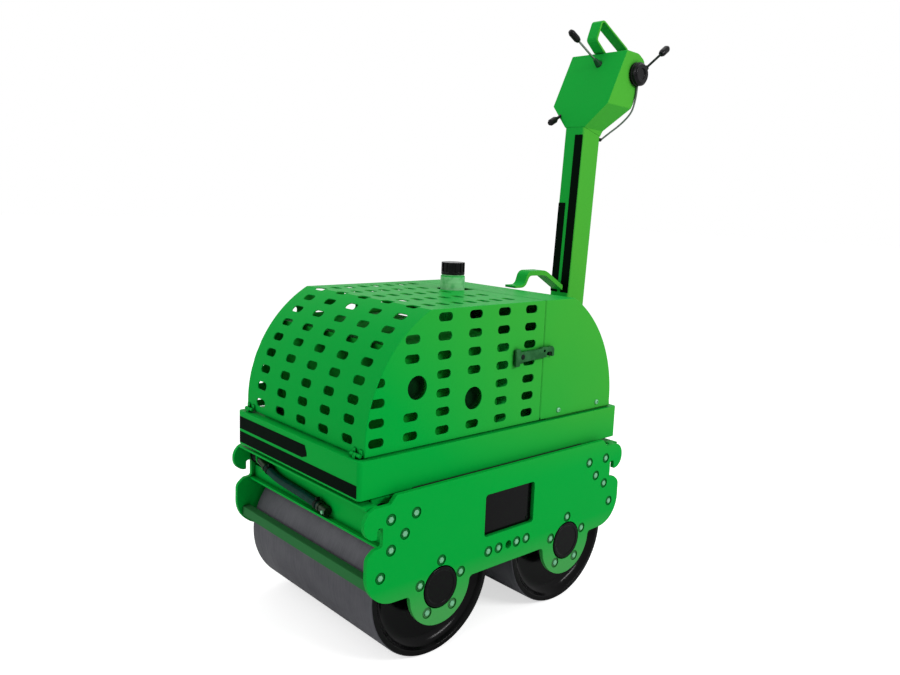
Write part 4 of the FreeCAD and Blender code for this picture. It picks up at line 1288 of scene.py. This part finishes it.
@dataclass
class Casing:
    """Sizes that the hood and the rear cover share: their side view and their sheet."""

    half: float = 288.0
    end: float = 473.0
    low: float = 580.0
    spring: float = 600.0
    top: float = 927.0
    arc: float = 371.0
    sheet: float = 3.0
    steps: int = 44

    @property
    def centre(self) -> float:
        """How far the arc's centre stands from the middle."""
        return self.end - self.arc

    @property
    def rise(self) -> float:
        """The angle through which the arc climbs to the level top."""
        return math.asin((self.top - self.spring) / self.arc)

    def line(self, sign: int, seam: float, inset: float) -> list[tuple[float, float]]:
        """The casing's side view from its low edge over the arc to the seam.

        Args:
            sign: -1 for the hood in front, 1 for the rear cover.
            seam: Where the level top ends.
            inset: How far inside the outer face the line runs.

        Returns:
            (y, z) points in order.
        """
        radius, roof = self.arc - inset, self.top - inset
        climb = math.asin((roof - self.spring) / radius)
        points = [(sign * (self.end - inset), self.low)]
        for i in range(self.steps + 1):
            angle = climb * i / self.steps
            points.append((sign * (self.centre + radius * math.cos(angle)), self.spring + radius * math.sin(angle)))
        return [*points, (seam, roof)]

    def wrap(self, name: str, sign: int, seam: float) -> Piece:
        """The bent sheet over the casing's end and top.

        Args:
            name: The piece's name.
            sign: -1 for the hood in front, 1 for the rear cover.
            seam: Where the level top ends.

        Returns:
            The sheet between the side panels.
        """
        outline = self.line(sign, seam, 0) + self.line(sign, seam, self.sheet)[::-1]
        inner = self.half - self.sheet
        return plate(name, [Vector((-inner, y, z)) for y, z in outline], Vector((2 * inner, 0, 0)))

    def panel(self, name: str, sign: int, seam: float, side: Side) -> Piece:
        """A flat side panel whose outer edge is rounded into the bent sheet.

        Args:
            name: The piece's name.
            sign: -1 for the hood in front, 1 for the rear cover.
            seam: Where the level top ends.
            side: The machine's side that it closes.

        Returns:
            The panel.
        """
        near = 0.1
        outline = [*self.line(sign, seam, 0), (seam, self.low)]
        panel = plate(name, [Vector((side.value * (self.half - self.sheet), y, z)) for y, z in outline],
                      Vector((side.value * self.sheet, 0, 0)))

        def outer_rim(edge: bmesh.types.BMEdge) -> bool:
            """Tell the outer edge along the arc and the top from the low edge and the seam.

            Args:
                edge: An edge of the panel.

            Returns:
                Whether it is rounded.
            """
            ends = [vert.co / MM for vert in edge.verts]
            outer = all(abs(co.x) > self.half - near for co in ends)
            roof = all(co.z > self.top - near for co in ends)
            return outer and (roof or all(co.z > self.low + near and abs(co.y - seam) > near for co in ends))

        with editing(panel, "EDGE"):
            pick(panel, "edges", outer_rim)
            bpy.ops.mesh.bevel(offset=(self.sheet - 0.3) * MM, segments=4, affect="EDGES")
        return panel


@dataclass
class Hood:
    """The hinged, perforated front half of the casing with its latches and hinges."""

    casing: Casing = field(default_factory=Casing)
    seam: float = 147.0
    slot_long: float = 47.0
    slot_high: float = 23.0
    corner: float = 10.6
    punch_depth: float = 20.0
    first_row: float = 610.5
    first_travel: float = 10.014
    row_pitch: float = 49.3
    column_pitch: float = 106.0
    front_columns: Sequence[int] = range(-2, 3)
    last_column: float = 90.0
    seam_margin: float = 30.0
    plain_from: float = 30.0
    plain_across: tuple[float, float] = (-140.0, 40.0)
    rows: Sequence[Sequence[int]] = ((0, 1, 2, 3), (0, 1, 4, 5), range(7), (0, 3, 4, 5, 6), range(7), range(7))
    port_radius: float = 31.0
    port_inner: float = 10.0
    port_face: float = 286.5
    notch: tuple[tuple[float, float, float], tuple[float, float, float]] = ((-96, 50, 900), (-4, 190, 950))
    notch_radius: float = 40.0
    rivet: tuple[float, float, float] = (300.0, 52.0, 776.0)

    def build(self) -> None:
        """Build the bent sheet, both sides, hinges and latches."""
        wrap = self.casing.wrap("hood_bent_sheet", -1, self.seam)
        cut(wrap, self.punch(self.front_places()))
        deliver(cut(wrap, self.notch_tool()), "hood", "green_paint", GREEN, "hood_wrap", angle=20)
        for side in Side:
            panel = self.casing.panel(f"hood_panel_{side.label}", -1, self.seam, side)
            cut(panel, self.punch(self.side_places(side)))
            ports = [cylinder("port", self.port_radius, 2 * self.port_inner,
                              standing(side.value * self.port_face - self.port_inner, y, z, Turn.ALONG_X), 64)
                     for y, z in AIR_PORTS]
            cut(panel, joined("ports", ports))
            deliver(panel, "hood", "green_paint", GREEN, f"hood_side_{side.label}", angle=20)
        deliver_eased("hinge_leaves", "hood", "green_paint", GREEN, edge=0.5, segments=1)
        deliver_eased("hinge_pins", "root", "green_paint", GREEN, edge=0.5, segments=1)
        deliver_eased("hood_latches", "hood", "rubber", STRAP, edge=1.6, segments=3)
        self.rivets()

    def notch_tool(self) -> Piece:
        """The tool for the notch round the filler neck, round at its front.

        Returns:
            The tool over the middle of the seam.
        """
        low, high = (Vector(corner) for corner in self.notch)
        middle = (low + high).y / 2 * MM
        tool = block("neck_cutter", low, high)
        with editing(tool, "EDGE"):
            pick(tool, "edges", lambda edge: is_upright(edge) and all(vert.co.y < middle for vert in edge.verts))
            bpy.ops.mesh.bevel(offset=self.notch_radius * MM, segments=10, affect="EDGES")
        return tool

    def front_places(self) -> list[Matrix]:
        """Where the slots of the bent sheet stand, square to the sheet.

        Returns:
            A place for each slot, row by row from the low edge up and back.
        """
        casing, places = self.casing, []
        level_from = casing.arc * casing.rise
        for row in count():
            travel = self.first_travel + self.row_pitch * row
            if travel < level_from:
                angle = travel / casing.arc
                y, z = -casing.centre - casing.arc * math.cos(angle), casing.spring + casing.arc * math.sin(angle)
            else:
                angle = math.pi / 2
                y, z = travel - level_from - casing.centre - casing.arc * math.cos(casing.rise), casing.top
            if y > self.seam - self.seam_margin:
                return places
            for column in self.front_columns:
                x = column * self.column_pitch
                if y <= self.plain_from or not self.plain_across[0] < x < self.plain_across[1]:
                    places.append(Matrix.Translation(point(x, y, z)) @ Matrix.Rotation(math.pi / 2 - angle, 4, "X"))

    def side_places(self, side: Side) -> list[Matrix]:
        """Where the slots of one side panel stand.

        Args:
            side: The machine's side.

        Returns:
            A place for each slot, column by column from the nose.
        """
        upright = Matrix(((0, 0, 1, 0), (1, 0, 0, 0), (0, 1, 0, 0), (0, 0, 0, 1)))
        return [Matrix.Translation(point(side.value * (self.casing.half - self.casing.sheet / 2),
                                         self.last_column - self.column_pitch * (len(self.rows) - 1 - column),
                                         self.first_row + self.row_pitch * row)) @ upright
                for column, rows in enumerate(self.rows) for row in rows]

    def punch(self, places: Sequence[Matrix]) -> Piece:
        """The punching tool at every place: a box whose upright edges are rounded.

        Args:
            places: Where the slots stand.

        Returns:
            All tools in one.
        """
        size = Vector((self.slot_long, self.slot_high, self.punch_depth))
        tool = block("slot_tool", -size / 2, size / 2)
        with editing(tool, "EDGE"):
            pick(tool, "edges", is_upright)
            bpy.ops.mesh.bevel(offset=self.corner * MM, segments=5, affect="EDGES")
        return repeated("slot_tools", tool, places)

    def rivets(self) -> None:
        """Rivets through the latches' rubber."""
        rivets = Fastener(Head.RIVET, radius=7.5, height=1.8).row("latch_rivets",
                                                                  [side.outwards(*self.rivet) for side in Side])
        deliver(coat(rivets, PHOSPHATE), "hood", "zinc_steel", PHOSPHATE)


@dataclass
class RearCover:
    """The plain, fixed rear half of the casing and what stands on it."""

    casing: Casing = field(default_factory=Casing)
    seam: float = 152.0
    screws: Spots = ((228, 598), (406, 598))
    lip_wide: float = 3.2
    lip_gap: float = 0.1
    lip_inset: float = 0.4
    lip_foot: float = 586.0

    def build(self) -> None:
        """Build the cover, its screws, the seam strip, the rails and the bar's rest."""
        wrap = self.casing.wrap("rear_bent_sheet", 1, self.seam)
        deliver(wrap, "root", "green_paint", GREEN, "rear_cover_back", angle=20)
        for side in Side:
            panel = self.casing.panel(f"rear_panel_{side.label}", 1, self.seam, side)
            deliver(panel, "root", "green_paint", GREEN, f"rear_cover_{side.label}", angle=20)
        places = [side.outwards(self.casing.half, y, z) for side in Side for y, z in self.screws]
        deliver(Fastener(Head.BUTTON, radius=7.5, height=5).row("cover_screws", places), "root", "zinc_steel", ZINC)
        repaint("cover_rails", GREEN)
        repaint("seam_strip", GREEN)
        deliver(self.seam_lip(), "root", "green_paint", GREEN)
        deliver_eased("bar_rest", "root", "green_paint", GREEN, edge=1.5)
        deliver_eased("latch_pegs", "root", "zinc_steel", PHOSPHATE, edge=0.8, segments=1)

    def seam_lip(self) -> Piece:
        """The painted lip of the cover's front edge, an upside-down U that fills most of the seam.

        Returns:
            The lip.
        """
        outer, roof, sheet = self.casing.half - self.lip_inset, self.casing.top - self.lip_inset, self.casing.sheet
        hoop = [(outer, self.lip_foot), (outer, roof), (-outer, roof), (-outer, self.lip_foot)]
        inside = [(sheet - outer, self.lip_foot), (sheet - outer, roof - sheet), (outer - sheet, roof - sheet),
                  (outer - sheet, self.lip_foot)]
        front = self.seam - self.lip_wide - self.lip_gap
        return plate("seam_lip", [Vector((x, front, z)) for x, z in hoop + inside], Vector((0, self.lip_wide, 0)))


@dataclass
class WaterTank:
    """The sprinkler tank, its filler neck and the ribbed cap."""

    x: float = -50.0
    y: float = 95.0
    neck_foot: float = 880.0
    neck_top: float = 968.0
    neck_plug: float = 974.0
    neck_radius: float = 37.4
    neck_wall: float = 3.0
    bead: float = 0.8
    cap_low: float = 972.0
    cap_radius: float = 36.0
    cap_height: float = 37.0
    skirt: float = 8.0
    crown: float = 2.5
    crown_inset: float = 6.0
    crown_sunk: float = 0.1
    ribs: int = 12
    rib_depth: float = 3.0

    def build(self) -> None:
        """Build the tank, the sleeve of its neck and the cap."""
        deliver_eased("water_tank", "root", "green_plastic", TANK, edge=2.0)
        self.neck()
        self.cap()

    def on_axis(self, z: float) -> Matrix:
        """A place on the neck's axis."""
        return standing(self.x, self.y, z)

    def neck(self) -> None:
        """The neck's sleeve with the bead under the cap."""
        radius, bead, top = self.neck_radius, self.neck_radius + self.bead, self.neck_top
        inner = radius - self.neck_wall
        section = [(0, self.neck_foot), (radius, self.neck_foot), (radius, top - 24), (bead, top - 22),
                   (bead, top - 18), (radius, top - 16), (radius, top - 3), (inner, top), (inner, self.neck_plug),
                   (0, self.neck_plug)]
        deliver(turned("filler_neck", section, self.on_axis(0)), "root", "green_plastic", NECK)

    def cap(self) -> None:
        """The screw cap: a turned body whose every other side face is drawn in between ribs."""
        radius, low, faces = self.cap_radius, self.cap_low, self.ribs * 4
        body = cylinder("ribbed_cap", radius, self.cap_height - self.skirt, self.on_axis(low + self.skirt), faces)
        centre = Vector((self.x, self.y)) * MM

        def groove(face: bmesh.types.BMFace) -> bool:
            """Tell the side faces between the ribs.

            Args:
                face: A face of the cap.

            Returns:
                Whether it is drawn in.
            """
            away = face.calc_center_median().xy - centre
            turn = (math.atan2(away.y, away.x) / math.tau * faces) % 4
            return abs(face.normal.z) < 0.5 and turn > 2

        with editing(body):
            pick(body, "faces", groove)
            bpy.ops.mesh.inset(thickness=0.05 * MM, depth=-self.rib_depth * MM)
        ease(body, 0.8, angle=40)
        skirt = spindle("skirt", [(0, 0), (radius, 0, 1), (radius, self.skirt, 1.5), (0, self.skirt)],
                        self.on_axis(low), rounding=3, steps=64)
        rim = radius - self.crown_inset
        crown = spindle("crown", [(0, 0), (rim, 0), (rim, self.crown, 1), (0, self.crown)],
                        self.on_axis(low + self.cap_height - self.crown - self.crown_sunk), rounding=3, steps=48)
        deliver(joined("ribbed_cap", [body, skirt, crown]), "root", "black_plastic", PLASTIC, "tank_cap")


# ---------------------------------------------------------------- steering bar

@dataclass
class SteeringBar:
    """The steering stem with its stripes, the control head, the levers and the fold."""

    pivot: tuple[float, float, float] = (0.0, 560.0, 520.0)
    lean: float = 3.15
    front: float = -44.0
    long_stripe: tuple[float, float, float, float] = (5, 38, 380, 902)
    short_stripe: tuple[float, float, float, float] = (-38, -8, 380, 679)
    hub: tuple[float, float] = (102.0, 1112.0)
    hub_foot: float = 116.0
    hub_radius: float = 38.0
    travel_start: float = 129.0
    travel_tilt: float = 38.0
    travel_reach: float = 136.0
    front_start: tuple[float, float, float] = (16, 29, 1140)
    front_aim: tuple[float, float, float] = (-0.125, -0.855, 0.503)
    front_reach: float = 112.0
    cable_radius: float = 3.0
    cable_route: Sequence[tuple[float, float, float]] = (
        (121, 109, 1076), (121, 109, 1052), (121, 104, 1021), (114, 101, 987), (79, 96, 951), (48, 76, 920),
        (33, 57, 897))

    @property
    def place(self) -> Matrix:
        """Where the bar's own frame stands: on the pivot, leaning back."""
        return Matrix.Translation(point(*self.pivot)) @ Matrix.Rotation(math.radians(-self.lean), 4, "X")

    def build(self) -> None:
        """Build the bar from its pivot up."""
        deliver_eased("handle_bracket", "root", "green_paint", GREEN, edge=1.2)
        deliver_eased("handle_pin", "root", "bright_steel", ZINC, edge=1.0)
        deliver_eased("steering_stem", "handlebar", "green_paint", GREEN, edge=1.8)
        deliver_eased("control_head", "handlebar", "green_paint", GREEN, edge=2.2, segments=3)
        deliver_eased("grab_loop", "handlebar", "green_paint", GREEN, edge=1.6)
        self.stem_stripe("stem_stripe_long", *self.long_stripe)
        self.stem_stripe("stem_stripe_short", *self.short_stripe)
        self.travel_lever()
        self.front_lever()
        deliver_eased("stop_knob", "handlebar", "black_plastic", PLASTIC, edge=0.8, segments=1)
        self.cable()

    def stem_stripe(self, name: str, left: float, right: float, low: float, high: float) -> None:
        """One strip of film with round corners on the stem's front face.

        Args:
            name: The piece's name.
            left: Its smallest x in the bar's own frame.
            right: Its largest x.
            low: Its smallest z.
            high: Its largest z.
        """
        corners = [(left, low, 2), (right, low, 2), (right, high, 2), (left, high, 2)]
        stripe(name, "handlebar", rounded(corners, 3), self.front, self.place)

    def travel_lever(self) -> None:
        """The travel lever on the head's side: ribbed hub, dark rod and barrel grip."""
        place, radius = self.place @ standing(self.hub_foot, *self.hub, Turn.ALONG_X), self.hub_radius
        profile = [(0, 0), (radius, 0, 1), (radius, 8, 2), (34.5, 10.5, 1.5), (radius, 13, 2), (37, 20, 2),
                   (34, 22, 1), (30, 27, 3), (18, 27, 1.5), (16, 23, 1), (0, 23)]
        hub = spindle("travel_hub", profile, place, rounding=4, steps=64)
        deliver(hub, "handlebar", "black_plastic", PLASTIC, "travel_lever_hub")
        tilt, reach = math.radians(self.travel_tilt), self.travel_reach
        place = self.place @ aimed(Vector((self.travel_start, *self.hub)), Vector((0, math.cos(tilt), math.sin(tilt))))
        profile = [(0, 30), (9, 30, 1.5), (9, 44, 1.5), (4, 47, 1), (4, reach), (0, reach)]
        rod = spindle("travel_rod", profile, place, rounding=3, steps=24)
        trim = cylinder("trim", radius + 0.1, 30, self.place @ standing(self.hub_foot - 2, *self.hub, Turn.ALONG_X),
                        sides=64)
        deliver(cut(rod, trim), "handlebar", "bright_steel", PHOSPHATE, "travel_lever_rod")
        self.grip("travel_grip", place @ standing(0, 0, reach), "travel_lever_knob", radius=12, length=46)

    def front_lever(self) -> None:
        """The lever on the head's front: rubber boot, thin rod and grip."""
        place = self.place @ aimed(Vector(self.front_start), Vector(self.front_aim))
        deliver_eased("front_lever_boot", "handlebar", "rubber", BOOT, edge=0.8, segments=1)
        profile = [(0, 24), (3.5, 24, 0.5), (3.5, self.front_reach, 0.5), (0, self.front_reach)]
        rod = spindle("front_rod", profile, place, rounding=2, steps=20)
        deliver(rod, "handlebar", "bright_steel", BRIGHT, "front_lever_rod")
        self.grip("front_grip", place @ standing(0, 0, self.front_reach), "front_lever_knob", radius=11, length=48)

    def grip(self, name: str, place: Matrix, node: str, radius: float, length: float) -> None:
        """A moulded grip: narrow collar, barrel and rounded end.

        Args:
            name: The piece's name.
            place: Where its foot stands on the rod.
            node: The CAD node that it stands for.
            radius: The barrel's radius.
            length: How far it reaches from its foot.
        """
        profile = [(0, 0), (radius * 0.7, 0, 0.8), (radius, length * 0.2, 6), (radius, length * 0.8, 6),
                   (radius * 0.62, length, 3), (0, length)]
        grip = spindle(name, profile, place, rounding=5, steps=32)
        deliver(grip, "handlebar", "black_plastic", PLASTIC, node)

    def cable(self) -> None:
        """The control cable from the travel hub round the head's edge to its gland on the stem's back."""
        route = [Vector(stop) for stop in self.cable_route]
        cable = settle(hose_along("throttle_cable", route, self.cable_radius, sides=3), self.place)
        deliver(cable, "handlebar", "grey_cable", SHEATH, "control_cable")
        deliver_eased("cable_gland", "handlebar", "zinc_steel", PHOSPHATE, edge=0.8, segments=1)


# ---------------------------------------------------------------- studio

@dataclass(frozen=True)
class Softbox:
    """A rectangular soft light that faces the machine; its level and its upright side are in metres."""

    name: str
    place: tuple[float, float, float]
    sides: tuple[float, float]
    watts: float
    aim: tuple[float, float, float] = (0.0, 0.0, 600.0)

    def hang(self) -> None:
        """Hang the light at its place and turn it towards the machine."""
        lamp = bpy.data.lights.new(self.name, "AREA")
        lamp.energy = self.watts
        lamp.shape = "RECTANGLE"
        lamp.size, lamp.size_y = self.sides
        light = bpy.data.objects.new(self.name, lamp)
        bpy.context.scene.collection.objects.link(light)
        place = point(*self.place)
        light.location = place
        light.rotation_euler = (place - point(*self.aim)).to_track_quat("Z", "Y").to_euler()


@dataclass
class Studio:
    """Floor, backdrop, lights and the camera."""

    azimuth: float = 47.91
    elevation: float = 9.58
    roll: float = 2.18
    distance: float = 2483.48
    target: tuple[float, float, float] = (23.79, 26.51, 791.59)
    focal_length: float = 33.284
    sensor: float = 36.0
    softboxes: Sequence[Softbox] = (
        Softbox("key_strip", (4000, 900, 2800), (2.4, 0.34), 104),
        Softbox("front_softbox", (-1600, -3800, 2200), (2.6, 2.6), 54),
        Softbox("top_softbox", (-300, 600, 4200), (3.0, 3.0), 40))
    fill: float = 0.5
    floor_side: float = 60.0
    floor_gap: float = 0.5
    floor_tone: float = 0.82
    floor_lift: float = 0.62

    def build(self) -> None:
        """Set the whole studio up."""
        self.camera()
        self.world()
        self.floor()
        for softbox in self.softboxes:
            softbox.hang()
        bpy.context.scene.view_settings.view_transform = "Standard"

    def camera(self) -> None:
        """The camera at the viewing angle of the whole machine from its left front corner."""
        turn, climb, roll = (math.radians(a) for a in (self.azimuth, self.elevation, self.roll))
        back = Vector((math.sin(turn) * math.cos(climb), -math.cos(turn) * math.cos(climb), math.sin(climb)))
        right = Vector((math.cos(turn), math.sin(turn), 0))
        up = back.cross(right)
        across = right * math.cos(roll) + up * math.sin(roll)
        upward = up * math.cos(roll) - right * math.sin(roll)
        lens = bpy.data.cameras.new("studio_camera")
        lens.sensor_width = self.sensor
        lens.lens = self.focal_length
        camera = bpy.data.objects.new("studio_camera", lens)
        bpy.context.scene.collection.objects.link(camera)
        facing = Matrix((across, upward, back)).transposed().to_4x4()
        camera.matrix_world = Matrix.Translation(point(*self.target) + back * self.distance * MM) @ facing
        bpy.context.scene.camera = camera

    def world(self) -> None:
        """White behind the machine for the eye and in reflections, an even soft grey for its light."""
        world = bpy.data.worlds.new("studio")
        bpy.context.scene.world = world
        world.use_nodes = True
        tree = world.node_tree
        rays = add(tree, "ShaderNodeLightPath")
        shown = add(tree, "ShaderNodeMath", {0: rays.outputs["Is Camera Ray"], 1: rays.outputs["Is Glossy Ray"]},
                    operation="MAXIMUM")
        seen = add(tree, "ShaderNodeMath", {0: shown.outputs["Value"], 1: rays.outputs["Is Transmission Ray"]},
                   operation="MAXIMUM")
        strength = add(tree, "ShaderNodeMapRange", {"Value": seen.outputs["Value"], "To Min": self.fill, "To Max": 1.0})
        feed(tree, tree.nodes["Background"], {"Color": (1, 1, 1, 1), "Strength": strength.outputs["Result"]})

    def floor(self) -> None:
        """A plain pale floor that keeps the machine's soft shadow."""
        clear()
        bpy.ops.mesh.primitive_plane_add(size=self.floor_side, location=(0, 0, -self.floor_gap * MM))
        floor = bpy.context.object
        floor.name = "studio_floor"
        material = bpy.data.materials.new("pale_studio_floor")
        material.use_nodes = True
        tree, tone = material.node_tree, self.floor_tone
        tree.nodes.remove(tree.nodes["Principled BSDF"])
        matt = add(tree, "ShaderNodeBsdfDiffuse", {"Color": (tone, tone, tone, 1)})
        rays = add(tree, "ShaderNodeLightPath")
        lift = add(tree, "ShaderNodeMath", {0: rays.outputs["Is Camera Ray"], 1: self.floor_lift},
                   operation="MULTIPLY")
        glow = add(tree, "ShaderNodeEmission", {"Color": (1, 1, 1, 1), "Strength": lift.outputs["Value"]})
        both = add(tree, "ShaderNodeAddShader", {0: matt.outputs["BSDF"], 1: glow.outputs["Emission"]})
        feed(tree, tree.nodes["Material Output"], {"Surface": both.outputs["Shader"]})
        floor.data.materials.append(material)


def main() -> None:
    """Build the studio and the machine's sub-assemblies in order."""
    logging.basicConfig(level=logging.INFO, format="%(name)s: %(message)s")
    assemblies = [Studio(), Drum("front_drum", -250.0), Drum("rear_drum", 250.0), Undercarriage(), Sprinkler(),
                  Deck(), Engine(), Hood(), RearCover(), WaterTank(), SteeringBar()]
    for assembly in assemblies:
        assembly.build()
        LOG.info("%s finished", type(assembly).__name__)
    clear()


if __name__ == "__main__":
    main()
